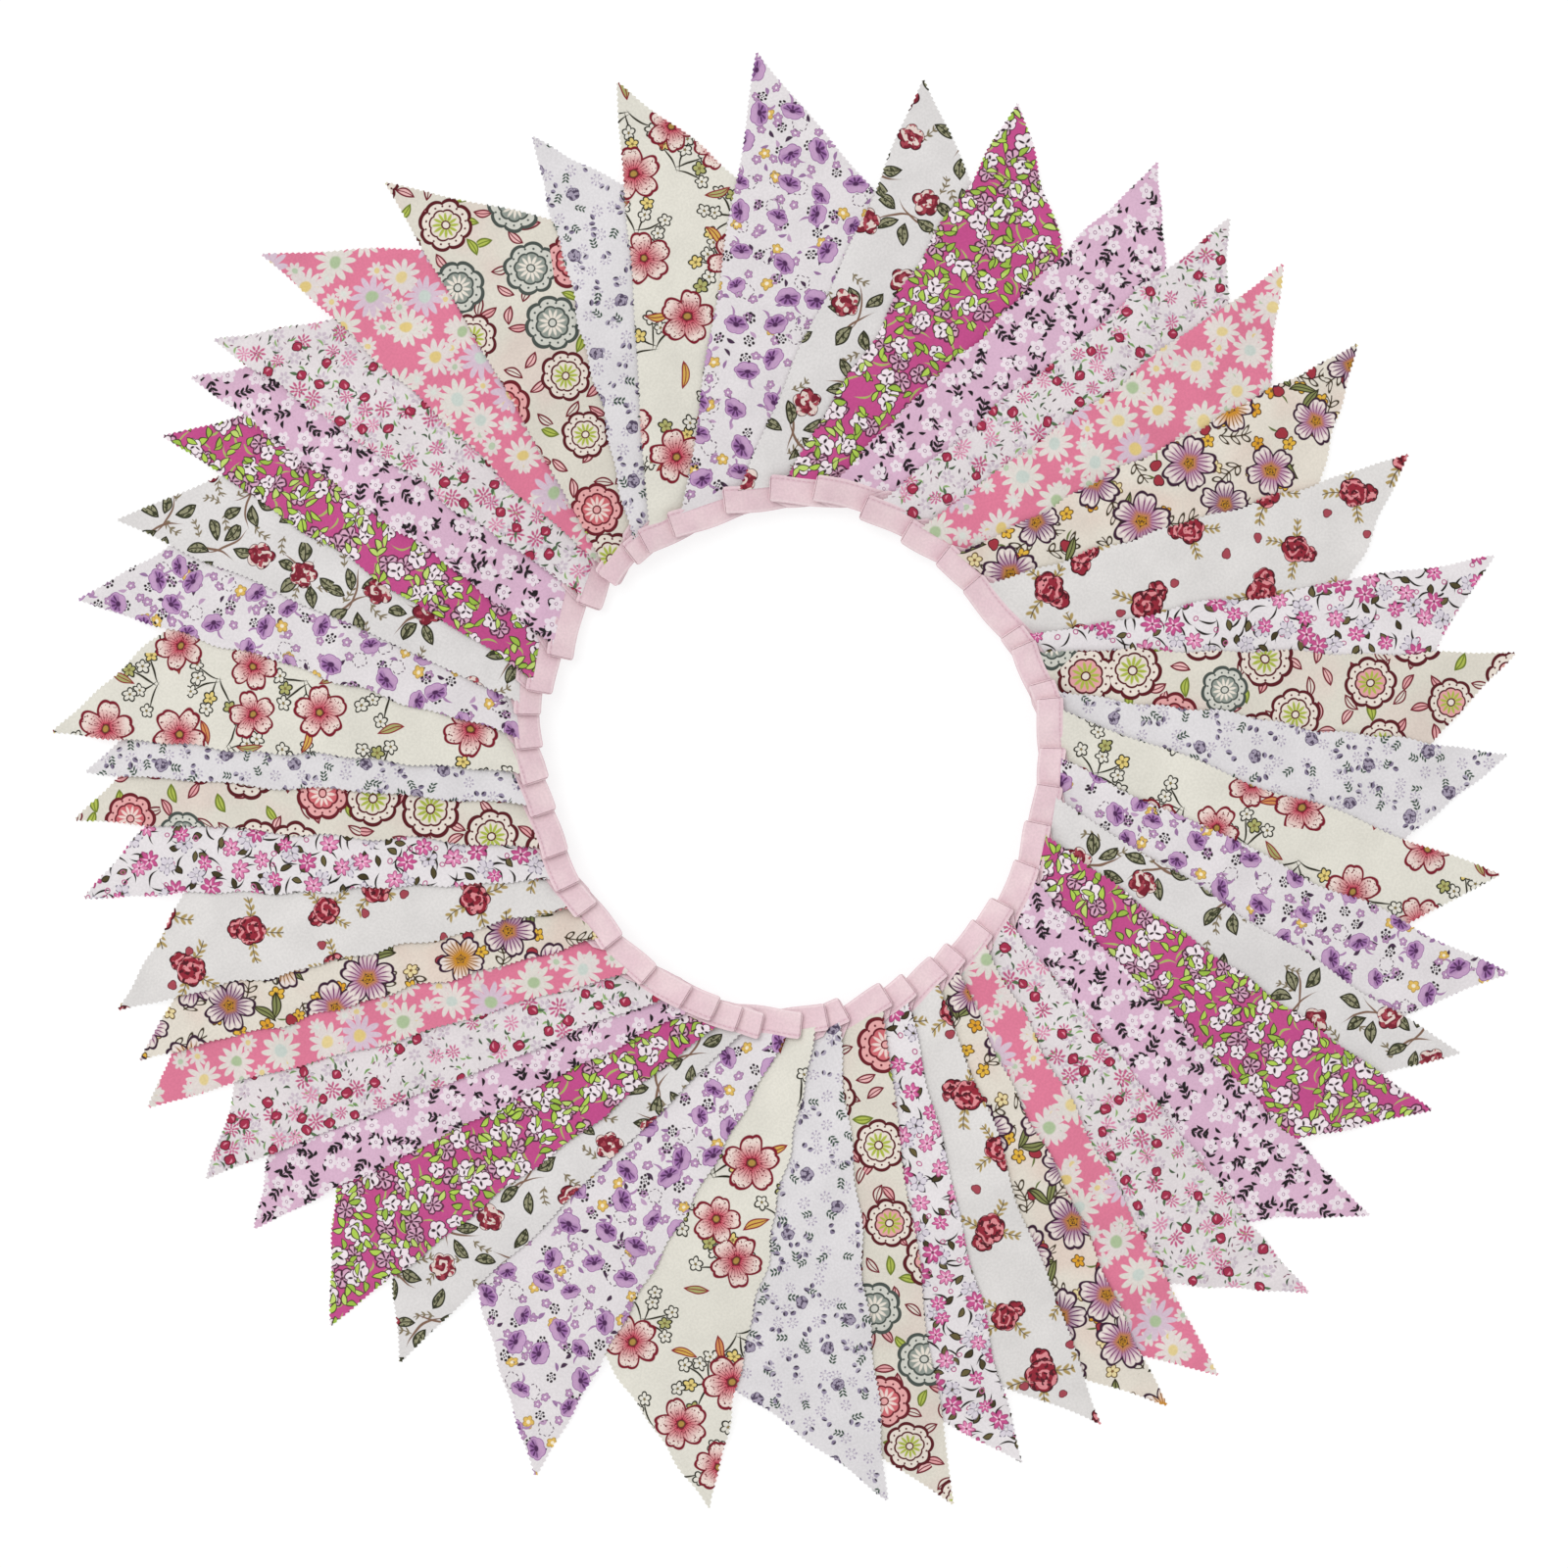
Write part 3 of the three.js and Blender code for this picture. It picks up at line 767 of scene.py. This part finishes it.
def daisy_cotton():
    """White daisies of eleven round petals, large and small, close together on pink."""
    cotton = Cotton("daisy_cotton", "d87793")
    small = cotton.spots(12.5, 0.75, 2.0)
    cotton.shape(cotton.petals(small, 8.0, 2.4, 1.8, 0.9)["Edge"], "d9cecb")
    cotton.paint(cotton.dot(small, 2.0), "d9cecb")
    cotton.paint(cotton.dot(small, 1.3), cotton.pick_colour(small["Pick"], "dac58c", "b3c2a8", "d3d6cf"))
    large = cotton.sized(cotton.spots(20.0, 0.42, 1.0), 0.86, 1.04)
    white = cotton.pick_colour(large["Pick2"], "dbd2cd", "d9d0cd", "d8d2cb", "cfbac9")
    cotton.shape(cotton.petals(large, 11.0, 5.7, 3.8, 1.4)["Edge"], white)
    cotton.paint(cotton.dot(large, 3.9), white)
    heart = cotton.pick_colour(large["Pick"], "d9c17c", "a8bb95", "c2ccc5", "dcc88e")
    cotton.paint(cotton.dot(large, 2.8, 0.9), heart)
    return cotton.finish()


def lilac_cotton():
    """Small white flowers among thin black sprigs and dashes on lilac."""
    cotton = Cotton("lilac_cotton", "d3aec6")
    dash = cotton.spots(5.0, 0.9, 5.0)
    cotton.shape(cotton.leaf(dash, 3.5, 1.4, 0.5)["Edge"], "171014", shown=cotton.over(dash["Pick"], 0.45))
    sprig = cotton.spots(12.0, 0.7, 3.0)
    leaves, stem = cotton.sprig(sprig, 7.5, 2.5, 3.3, 1.4, 0.75, 0.8)
    cotton.shape(leaves, "1a1317")
    cotton.stem(stem, 0.4, "1a1317")
    flower = cotton.sized(cotton.spots(9.4, 0.7, 1.0), 0.8, 1.1)
    cotton.shape(cotton.petals(flower, 5.0, 1.9, 1.6, 1.25)["Edge"], "e4d8df")
    cotton.paint(cotton.dot(flower, 0.9), "e4d8df")
    cotton.paint(cotton.ring(flower, 0.7, 0.35), "a5809a")
    return cotton.finish()


def magenta_cotton():
    """Lime leaves and white and mauve flowers, all outlined, on magenta."""
    cotton = Cotton("magenta_cotton", "bd4a86", wobble=2.2)
    stem = cotton.spots(8.5, 0.9, 8.0)
    cotton.shape(cotton.leaf(stem, 9.0, 0.9, 1.6)["Edge"], "a3b35e")
    mauve = cotton.spots(15.0, 0.75, 6.0)
    cotton.shape(cotton.petals(mauve, 5.0, 2.4, 2.1, 1.5, 0.15)["Edge"], "d3a3bc", "572840", 0.6)
    cotton.shape(cotton.petals(mauve, 7.0, 2.3, 1.4, 0.42)["Edge"], "38182a")
    for leaf_seed, size, flower_seed in ((3.0, 6.8, 9.0), (4.0, 7.6, 10.0)):
        flower = cotton.sized(cotton.spots(16.0, 0.75, flower_seed), 0.8, 1.1)
        cotton.shape(cotton.bloom(flower, 5.0, 4.3, 0.3), "eadde3", "4b263a", 0.5)
        cotton.shape(cotton.petals(flower, 3.0, 1.6, 1.2, 0.5)["Edge"], "2c1822")
        leaf = cotton.spots(size, 0.9, leaf_seed)
        lime = cotton.pick_colour(leaf["Pick2"], "abcb50", "b9d06c", "97b745")
        shown = cotton.over(leaf["Pick"], 0.35)
        cotton.shape(cotton.leaf(leaf, 5.6, 2.5, 0.7)["Edge"], lime, "3f3a20", 0.5, shown)
    return cotton.finish()


def ditsy_cotton():
    """Pink heads of radiating dashes, crimson buds, green sprigs and dark specks, close together on white."""
    cotton = Cotton("ditsy_cotton", "dbd4d6")
    speck = cotton.spots(3.2, 1.0, 7.0)
    tint = cotton.pick_colour(speck["Pick"], "3d3034", "566753", "a58f9b", "85566a")
    cotton.shape(cotton.leaf(speck, 2.1, 0.7)["Edge"], tint, shown=cotton.over(speck["Pick2"], 0.5))
    pale = cotton.spots(9.5, 0.8, 4.0)
    shown = cotton.over(pale["Pick"], 0.35)
    cotton.shape(cotton.petals(pale, 6.0, 1.9, 1.1, 0.7)["Edge"], "c6b8c3", shown=shown)
    sprig = cotton.spots(5.6, 1.0, 3.0)
    green = cotton.pick_colour(sprig["Pick"], "6f9658", "43583f", "8aab6c")
    cotton.shape(cotton.leaf(sprig, 3.8, 1.0, 0.6)["Edge"], green, shown=cotton.over(sprig["Pick2"], 0.4))
    head = cotton.sized(cotton.spots(10.0, 0.7, 1.0), 0.85, 1.15)
    shown = cotton.over(head["Pick"], 0.33)
    pink = cotton.pick_colour(head["Pick2"], "c56a90", "d48aa8", "bb5880")
    cotton.shape(cotton.petals(head, 9.0, 2.6, 1.1, 0.5)["Edge"], pink, shown=shown)
    cotton.shape(cotton.petals(head, 5.0, 1.0, 0.7, 0.45)["Edge"], pink, shown=shown)
    bud = cotton.spots(13.0, 0.8, 5.0)
    shown = cotton.over(bud["Pick"], 0.25)
    cotton.shape(cotton.leaf(bud, 4.0, 1.4, 0.3, 40, 3.4)["Edge"], "4f6a48", shown=shown)
    cotton.shape(cotton.bloom(bud, 4.0, 2.3, 0.15), "a02a48", "561626", 0.45, shown)
    cotton.shape(cotton.leaf(cotton.set_off(bud, 0.4, 0.7), 2.2, 0.8, -0.4)["Edge"], "d98a9d", shown=shown)
    return cotton.finish()


def poppy_cotton():
    """Purple poppies, flat and dark below, on stems, with small purple and gold flowers, dark leaves and
    dashed rosettes, on white."""
    cotton = Cotton("poppy_cotton", "dcd7d9")
    sprig = cotton.spots(8.0, 0.95, 3.0)
    tint = cotton.pick_colour(sprig["Pick"], "422a44", "b797b6", "94709a")
    cotton.shape(cotton.leaf(sprig, 4.0, 1.7, 0.4)["Edge"], tint, shown=cotton.over(sprig["Pick2"], 0.4))
    small = cotton.spots(8.6, 0.85, 2.0)
    shown = cotton.over(small["Pick"], 0.4)
    cotton.shape(cotton.petals(small, 5.0, 1.1, 0.9, 0.75)["Edge"], "b48db3", "8f6a8e", 0.3, shown)
    cotton.paint(cotton.both(cotton.dot(small, 0.5), shown), "e6dfe2")
    gold = cotton.spots(23.0, 0.9, 5.0)
    cotton.shape(cotton.petals(gold, 5.0, 1.45, 1.15, 1.0)["Edge"], "d9b45c", "a88a44", 0.35)
    cotton.paint(cotton.dot(gold, 0.8), "ece2cc")
    rosette = cotton.spots(12.5, 0.85, 8.0)
    dark = cotton.over(rosette["Pick"], 0.4)
    cotton.shape(cotton.petals(rosette, 6.0, 1.9, 0.6, 0.7)["Edge"], "2b2128", shown=dark)
    cotton.shape(cotton.petals(rosette, 4.0, 0.7, 0.35, 0.35)["Edge"], "2b2128", shown=dark)
    outline = cotton.line(cotton.bloom(rosette, 5.0, 3.4, 0.2), 0.5)
    dashed = cotton.both(outline, cotton.dashes(rosette, 10, -0.2), cotton.under(rosette["Pick"], 0.4))
    cotton.paint(dashed, "6c5d6a")
    large = cotton.sized(cotton.spots(16.4, 0.5, 1.0), 0.85, 1.1)
    cotton.shape(cotton.leaf(large, 6.4, 1.1, 1.4, -70, 5.6)["Edge"], "a57fa8")
    wide = cotton.flattened(large, 0.76)
    edge = cotton.bloom(wide, 6.0, 5.3, 0.13)
    inside = cotton.shape(edge, "bd98bd", "94699b", 0.45)
    inner = cotton.fill(cotton.math("SUBTRACT", edge, 0.9), 0.8)
    cotton.paint(cotton.both(inner, cotton.fade(wide["Y"], -1.4, 2.2)), "9565a0")
    below = cotton.both(inside, cotton.fade(wide["Y"], -0.4, 1.2))
    cotton.shape(cotton.petals(wide, 9.0, 2.7, 1.5, 0.5)["Edge"], "552c5c", shown=below)
    cotton.paint(cotton.dot(wide, 1.3, 0.6), "4a2350")
    return cotton.finish()


# Leaves of a briar spray about its middle: offsets to the right and up, and the turn in degrees
BRIAR_LEAVES = [(9.0, 4.0, 25), (-8.5, 5.5, 150), (2.5, 9.5, 85), (-9.5, -4.5, 205), (9.5, -6.0, -35)]


def briar_cotton():
    """Khaki leaves on brown twigs, dark red and cream flowers and thin sprigs, far apart on white."""
    cotton = Cotton("briar_cotton", "d7d4d3")
    sprig = cotton.spots(13.0, 0.9, 9.0)
    shown = cotton.over(sprig["Pick"], 0.6)
    leaves, stem = cotton.sprig(sprig, 8.4, 2.8, 2.4, 0.9, 0.8, 0.9)
    cotton.shape(leaves, "7a6d52", shown=shown)
    cotton.stem(stem, 0.5, "7a6d52", shown)
    spray = cotton.spots(34.0, 0.5, 1.0)
    for turn, bow in ((0.0, 3.0), (140.0, 2.5)):
        cotton.shape(cotton.leaf(spray, 22.0, 1.1, bow, turn, 4.0)["Edge"], "7c5f4e")
    streaks = cotton.speckle(0.55, 0.5, 0.58)
    for right, up, turn in BRIAR_LEAVES:
        edge, side = cotton.leaf(cotton.set_off(spray, right, up, turn), 10.0, 4.6, 0.8)
        inside = cotton.shape(edge, "8f8d70", "23230f", 0.75)
        cotton.paint(cotton.both(inside, streaks), "3c3f28")
        cotton.paint(cotton.both(inside, cotton.line(side, 0.5)), "2b2818")
    bloom = cotton.spots(30.0, 0.55, 5.0)
    shown = cotton.over(bloom["Pick"], 0.2)
    inside = cotton.shape(cotton.bloom(bloom, 5.0, 6.2, 0.25), "761a2b", "3a0a14", 0.6, shown)
    cotton.paint(cotton.both(inside, cotton.curls(bloom, 1.1, 1, 0.25)), "dccac2")
    cotton.paint(cotton.both(inside, cotton.speckle(0.4, 0.56, 0.6, 5.0)), "a03f4c")
    return cotton.finish()


def cosmos_cotton():
    """Large cosmos veined and shaded purple or gold, small yellow blossoms, buds and leaves on cream."""
    cotton = Cotton("cosmos_cotton", "dbd4c8")
    cotton.paint(cotton.speckle(0.03, 0.5, 0.7, 4.0), "dacabe")
    spot = cotton.spots(22.0, 0.8, 3.0)
    leaves, stem = cotton.sprig(spot, 15.0, 5.0, 4.6, 1.8, 0.8, 1.6)
    cotton.paint(cotton.line(leaves, 0.5), "3a2e1a")
    cotton.stem(stem, 0.6, "38290f")
    gold = cotton.spots(13.0, 0.8, 5.0)
    shown = cotton.over(gold["Pick2"], 0.35)
    yellow = cotton.pick_colour(gold["Pick"], "dcae3c", "e0cf9c", "d69a28")
    cotton.shape(cotton.petals(gold, 5.0, 1.7, 1.45, 1.1)["Edge"], yellow, "5e441c", 0.45, shown)
    cotton.paint(cotton.both(cotton.dot(gold, 0.6), shown), "7d5a30")
    bud = cotton.spots(27.0, 0.85, 9.0)
    cotton.shape(cotton.leaf(bud, 6.0, 0.9, 0.5, 0.0, -4.0)["Edge"], "5d6b34")
    cotton.shape(cotton.bloom(bud, 3.0, 2.6, 0.2), "9c2f3c", "4c1420", 0.5)
    spray = cotton.spots(31.0, 0.6, 7.0)
    for turn in (0.0, 65.0):
        edge, side = cotton.leaf(spray, 12.0, 3.6, 0.9, turn, 5.5)
        inside = cotton.shape(edge, "7f8450", "2e2a16", 0.65)
        cotton.paint(cotton.both(inside, cotton.line(side, 0.5)), "2e2a16")
    large = cotton.sized(cotton.spots(29.0, 0.4, 1.0), 0.85, 1.1)
    edge, out = cotton.petals(large, 5.0, 6.7, 5.3, 3.1, 0.17)
    inside = cotton.shape(edge, "e2d6d0")
    shade = cotton.pick_colour(large["Pick"], "8a3f7a", "a0548c", "cb8a22", "7a3872")
    cotton.paint(cotton.both(inside, cotton.fade(out, 3.0, 9.0)), shade)
    veins = cotton.both(inside, cotton.dashes(large, 25, 0.55), cotton.fade(out, 8.0, 11.0))
    cotton.paint(veins, cotton.pick_colour(large["Pick"], "6d2f62", "7c3f6c", "8a5a1c", "5f2a58"))
    cotton.paint(cotton.both(inside, cotton.fade(out, 1.8, 4.6)), "c58a26")
    cotton.paint(cotton.line(edge, 0.8), "35162e")
    cotton.paint(cotton.dot(large, 1.9), "b9821f")
    cotton.paint(cotton.both(cotton.dot(large, 1.5), cotton.speckle(1.2, 0.48, 0.55)), "573a20")
    return cotton.finish()


# Leaf sprigs about a rose: offsets to the right and up, and the turn in degrees
ROSE_SPRIGS = [(-8.5, 6.0, 150), (-7.5, -7.5, 225), (8.5, -6.5, -40)]


def rose_cotton():
    """Pairs of crimson roses with pink petal edges among tan sprigs, far apart on white."""
    cotton = Cotton("rose_cotton", "d8d5d3")
    spot = cotton.sized(cotton.spots(32.0, 0.5, 1.0), 0.82, 1.1)
    shown = cotton.over(spot["Pick"], 0.05)
    for right, up, turn in ROSE_SPRIGS:
        leaves, stem = cotton.sprig(cotton.set_off(spot, right, up, turn), 9.0, 3.0, 3.4, 1.3, 0.7, 0.6)
        cotton.shape(leaves, "a8915a", shown=shown)
        cotton.stem(stem, 0.5, "5f4f34", shown)
    bud = cotton.spots(26.0, 0.9, 8.0)
    cotton.shape(cotton.bloom(bud, 3.0, 2.0, 0.2), "a04450", "6a2430", 0.4, cotton.over(bud["Pick"], 0.4))
    for right, up, size in ((5.4, 4.6, 4.6), (0.0, 0.0, 7.0)):
        rose = cotton.set_off(spot, right, up)
        inside = cotton.shape(cotton.bloom(rose, 6.0, size, 0.14), "8f2233", "3c0a13", 0.65, shown)
        cotton.paint(cotton.both(inside, cotton.curls(rose, 1.5, 1, 0.35)), "d8888e")
        cotton.paint(cotton.both(inside, cotton.speckle(0.45, 0.55, 0.6, 4.0)), "4f111c")
    return cotton.finish()


def blossom_cotton():
    """Pink blossoms of pointed petals, olive leaves, dark stems, tiny rings and pale flowers on white."""
    cotton = Cotton("blossom_cotton", "dfdadc")
    for seed in (3.0, 7.0):
        cotton.shape(cotton.leaf(cotton.spots(11.5, 0.85, seed), 8.5, 0.95, 1.6)["Edge"], "1c150f")
    leaf = cotton.spots(8.4, 0.85, 5.0)
    olive = cotton.pick_colour(leaf["Pick2"], "4d4426", "635936", "40371e")
    shown = cotton.over(leaf["Pick"], 0.3)
    cotton.shape(cotton.leaf(leaf, 5.0, 2.5, 0.3)["Edge"], olive, "201a09", 0.55, shown)
    cotton.paint(cotton.ring(cotton.spots(11.0, 0.9, 8.0), 1.0, 0.5), "b5608a")
    pale = cotton.spots(17.0, 0.7, 2.0)
    edge = cotton.petals(pale, 5.0, 2.5, 1.7, 1.4)["Edge"]
    cotton.shape(edge, "d3ccd5")
    cotton.paint(cotton.both(cotton.line(edge, 0.45), cotton.dashes(pale, 13)), "756d80")
    pink = cotton.sized(cotton.spots(13.2, 0.65, 1.0), 0.75, 1.1)
    shown = cotton.over(pink["Pick"], 0.1)
    tint = cotton.pick_colour(pink["Pick2"], "cf5f98", "d981ac", "c04f88")
    cotton.shape(cotton.petals(pink, 7.0, 2.2, 2.0, 0.95)["Edge"], tint, "983a6c", 0.3, shown)
    cotton.paint(cotton.both(cotton.dot(pink, 1.5), shown), tint)
    cotton.shape(cotton.petals(pink, 5.0, 1.4, 1.2, 0.32)["Edge"], "eac6d8", shown=shown)
    cotton.paint(cotton.both(cotton.dot(pink, 0.6), shown), "7a2f52")
    return cotton.finish()


def folk_cotton():
    """Scalloped roundels with rings and stars inside, and pods between, red, pink, lime and grey on cream."""
    cotton = Cotton("folk_cotton", "d6d1c5", wobble=0.8)
    cotton.paint(cotton.speckle(0.03, 0.5, 0.7, 2.0), "d6c9bf")
    pod = cotton.spots(11.5, 0.8, 3.0)
    edge, side = cotton.leaf(pod, 8.5, 3.4, 0.6)
    ink = cotton.pick_colour(pod["Pick"], "6e1a28", "6b7826", "6e1a28", "6e1a28")
    filling = cotton.pick_colour(pod["Pick"], "dc9ea0", "aab650", "e3b3b2", "d8d0c5")
    inside = cotton.shape(edge, filling, ink, 0.8)
    cotton.paint(cotton.both(inside, cotton.line(side, 0.5)), ink)
    flower = cotton.sized(cotton.spots(28.0, 0.4, 1.0), 0.95, 1.18)
    kind = flower["Pick"]
    rim = cotton.pick_colour(kind, "551019", "454d48", "65141f", "551019")
    outer = cotton.pick_colour(kind, "e0d6cb", "c9c9c0", "dfa3a2", "e0d6cb")
    inner = cotton.pick_colour(kind, "dfd5c8", "8d948c", "c9656c", "dc9ea0")
    star = cotton.pick_colour(kind, "a5b145", "e0d8cc", "e6cfc8", "a5b145")
    cotton.shape(cotton.bloom(flower, 8.0, 10.6, 0.14, 0.6), outer, rim, 1.5)
    cotton.shape(cotton.petals(flower, 16.0, 8.2, 0.45, 0.45)["Edge"], rim)
    cotton.shape(cotton.bloom(flower, 8.0, 6.6, 0.12, 0.6), inner, rim, 0.8)
    cotton.shape(cotton.petals(flower, 12.0, 3.3, 2.1, 0.6)["Edge"], star)
    cotton.shape(cotton.math("SUBTRACT", 1.6, flower["Away"]), outer, rim, 0.6)
    return cotton.finish()


def bud_cotton():
    """Small violet buds in pairs, a few larger ones, dotted stars and dark green sprigs on white."""
    cotton = Cotton("bud_cotton", "d8d5d7")
    star = cotton.spots(10.5, 0.8, 3.0)
    cotton.shape(cotton.petals(star, 7.0, 2.1, 0.5, 0.42)["Edge"], "a79db0")
    cotton.shape(cotton.petals(star, 7.0, 1.1, 0.32, 0.3)["Edge"], "b6adbb")
    sprig = cotton.spots(10.0, 0.9, 5.0)
    leaves = cotton.sprig(sprig, 4.5, 1.5, 2.2, 0.85)["Leaf"]
    cotton.shape(leaves, "2f4638", shown=cotton.over(sprig["Pick"], 0.5))
    pair = cotton.spots(9.6, 0.85, 1.0)
    shown = cotton.over(pair["Pick"], 0.3)
    violet = cotton.pick_colour(pair["Pick2"], "91879e", "a59daf", "7c7189")
    for right, up, turn in ((1.5, 0.3, 60), (-1.4, -0.4, 110)):
        bud = cotton.set_off(pair, right, up, turn)
        cotton.shape(cotton.leaf(bud, 2.9, 2.1)["Edge"], violet, shown=shown)
        cotton.shape(cotton.leaf(cotton.set_off(bud, 0.0, 0.6), 2.3, 0.8)["Edge"], "352c3d", shown=shown)
    large = cotton.spots(25.0, 0.7, 8.0)
    inside = cotton.shape(cotton.bloom(large, 5.0, 2.9, 0.15), "9f95a8", "71667e", 0.4)
    cotton.paint(cotton.both(inside, cotton.speckle(0.6, 0.5, 0.56)), "4f4459")
    return cotton.finish()


# Branches of a coral print's spray as turns and bows, and the places of its blossoms to the right and up
CORAL_BRANCHES = [(15, -1.2), (62, 1.0), (112, -1.0), (165, 1.4)]
CORAL_BLOSSOMS = [(12.5, 2.0), (7.5, 6.0), (5.5, 12.0), (-3.0, 8.0), (-5.5, 12.5), (-12.5, 4.0)]
BLOSSOM_TINTS = ["dedbd0", "dedbd0", "a9a868", "dedbd0", "dcc678", "dedbd0"]


def coral_cotton():
    """Large coral flowers of five notched, outlined petals, gold leaves, and thin branches of small outlined
    blossoms, with bare cream between them."""
    cotton = Cotton("coral_cotton", "dbd8cd")
    spray = cotton.spots(35.0, 0.45, 3.0)
    for turn, bow in CORAL_BRANCHES:
        cotton.shape(cotton.leaf(spray, 14.0, 0.9, bow, turn, 6.0)["Edge"], "262312")
    for place, (right, up) in enumerate(CORAL_BLOSSOMS):
        small = cotton.set_off(spray, right, up)
        pale = cotton.pick_colour(spray["Pick"], *np.roll(BLOSSOM_TINTS, place).tolist())
        cotton.shape(cotton.petals(small, 5.0, 1.7, 1.5, 1.15)["Edge"], pale, "1f1d10", 0.55)
        cotton.paint(cotton.dot(small, 0.5), "85713a")
    leaf = cotton.spots(31.0, 0.7, 7.0)
    edge, side = cotton.leaf(leaf, 11.5, 3.4, 0.9)
    autumn = cotton.pick_colour(leaf["Pick"], "cda54e", "a5a468", "cc8a52")
    inside = cotton.shape(edge, autumn, "86202a", 0.6)
    cotton.paint(cotton.both(inside, cotton.line(side, 0.45)), "86202a")
    large = cotton.sized(cotton.spots(32.0, 0.45, 1.0), 0.92, 1.12)
    shown = cotton.over(large["Pick"], 0.27)
    edge, out = cotton.petals(large, 5.0, 6.3, 4.9, 3.2, 0.15)
    inside = cotton.shape(edge, "e4d3ca", shown=shown)
    cotton.paint(cotton.both(inside, cotton.fade(out, 2.0, 8.8)), "c6425a")
    veins = cotton.both(inside, cotton.dashes(large, 25, 0.8), cotton.fade(out, 4.5, 7.5))
    cotton.paint(veins, "6c0f20")
    cotton.paint(cotton.both(inside, cotton.speckle(0.9, 0.62, 0.67)), "6f1022")
    cotton.paint(cotton.both(cotton.line(edge, 0.85), shown), "760c22")
    cotton.paint(cotton.both(cotton.dot(large, 1.5), shown), "a88440")
    cotton.paint(cotton.both(cotton.ring(large, 1.5, 0.5), shown), "5f3a26")
    return cotton.finish()


# The tape's stitches and the painted highlight along its folded edge, in millimetres across it, and the
# stitches' length
STITCH_LINE, STITCH_PITCH, FOLD_HIGHLIGHT_LINE = 10.4, 2.4, 0.7


def tape_cotton():
    """Pale pink tape, slightly mottled: a row of stitches along its sewn edge, in a slightly darker thread,
    with painted shade in a faint band round them for a trough, and a painted highlight, a paler line, along
    its other edge, where the cloth is folded."""
    cotton = Cotton("tape_cotton", "dfc3ca", wobble=0.1)
    cotton.paint(cotton.speckle(0.07, 0.4, 0.68, 3.0), "e5cdd1")
    place = cotton.add("SeparateXYZ", {0: cotton.cloth}).outputs
    # A paler line along the folded edge: a painted highlight where the fold catches the light
    cotton.paint(cotton.line(cotton.math("SUBTRACT", place[1], FOLD_HIGHLIGHT_LINE), 0.6, 0.5), "e9d5d8")
    across = cotton.math("SUBTRACT", place[1], STITCH_LINE)
    stitch = cotton.math("SINE", cotton.math("MULTIPLY", place[0], 2 * np.pi / STITCH_PITCH))
    # A slightly darker band round the stitch line: painted shade standing for a faint trough
    cotton.paint(cotton.line(across, 1.3, 0.7), "dabdc5")
    sewn = cotton.fill(cotton.math("ADD", stitch, 0.4), 0.5)
    cotton.paint(cotton.both(cotton.line(across, 0.45), sewn), "cfaab4")
    return cotton.finish()


COTTONS = {
    "poppy": poppy_cotton(),
    "briar": briar_cotton(),
    "magenta": magenta_cotton(),
    "lilac": lilac_cotton(),
    "ditsy": ditsy_cotton(),
    "daisy": daisy_cotton(),
    "cosmos": cosmos_cotton(),
    "rose": rose_cotton(),
    "blossom": blossom_cotton(),
    "folk": folk_cotton(),
    "bud": bud_cotton(),
    "coral": coral_cotton(),
}

for n in PENNANTS:
    pennant_piece(n).data.materials.append(COTTONS[LAY[n][0]])
tape_piece().data.materials.append(tape_cotton())

# The stage: the floor's half side in metres and its look, the light, and the camera over the ring
FLOOR_HALF = 30
FLOOR_LOOK = {
    "Base Color": (0.28, 0.28, 0.28, 1),
    "Roughness": 0.9,
    "Emission Color": (1, 1, 1, 1),
    "Emission Strength": 0.74,
}
ROOM_LIGHT = 0.8
WINDOW_LIGHT, WINDOW_SPREAD, WINDOW_TILT = 0.95, 40, (-20, -24, 0)
LENS, SENSOR_WIDTH = 100, 36
CAMERA_PLACE = (0.0, -0.0016, 1.962)

floor_mesh = bpy.data.meshes.new("floor")
floor_corners = np.array([(-1, -1, 0), (1, -1, 0), (1, 1, 0), (-1, 1, 0)]) * FLOOR_HALF
floor_mesh.from_pydata(floor_corners, [], [(0, 1, 2, 3)])
floor = bpy.data.objects.new("floor", floor_mesh)
bpy.context.scene.collection.objects.link(floor)
white = bpy.data.materials.new("white_floor")
white.use_nodes = True
for name, value in FLOOR_LOOK.items():
    white.node_tree.nodes["Principled BSDF"].inputs[name].default_value = value
floor_mesh.materials.append(white)

scene = bpy.context.scene
scene.view_settings.view_transform = "Standard"
world = bpy.data.worlds.new("soft_room")
world.use_nodes = True
world.node_tree.nodes["Background"].inputs["Color"].default_value = (1, 1, 1, 1)
world.node_tree.nodes["Background"].inputs["Strength"].default_value = ROOM_LIGHT
scene.world = world
lamp = bpy.data.lights.new("window", "SUN")
lamp.energy = WINDOW_LIGHT
lamp.angle = np.radians(WINDOW_SPREAD)
window = bpy.data.objects.new("window", lamp)
window.rotation_euler = np.radians(WINDOW_TILT)
scene.collection.objects.link(window)
lens = bpy.data.cameras.new("camera")
lens.lens = LENS
lens.sensor_width = SENSOR_WIDTH
camera = bpy.data.objects.new("camera", lens)
camera.location = CAMERA_PLACE
scene.collection.objects.link(camera)
scene.camera = camera
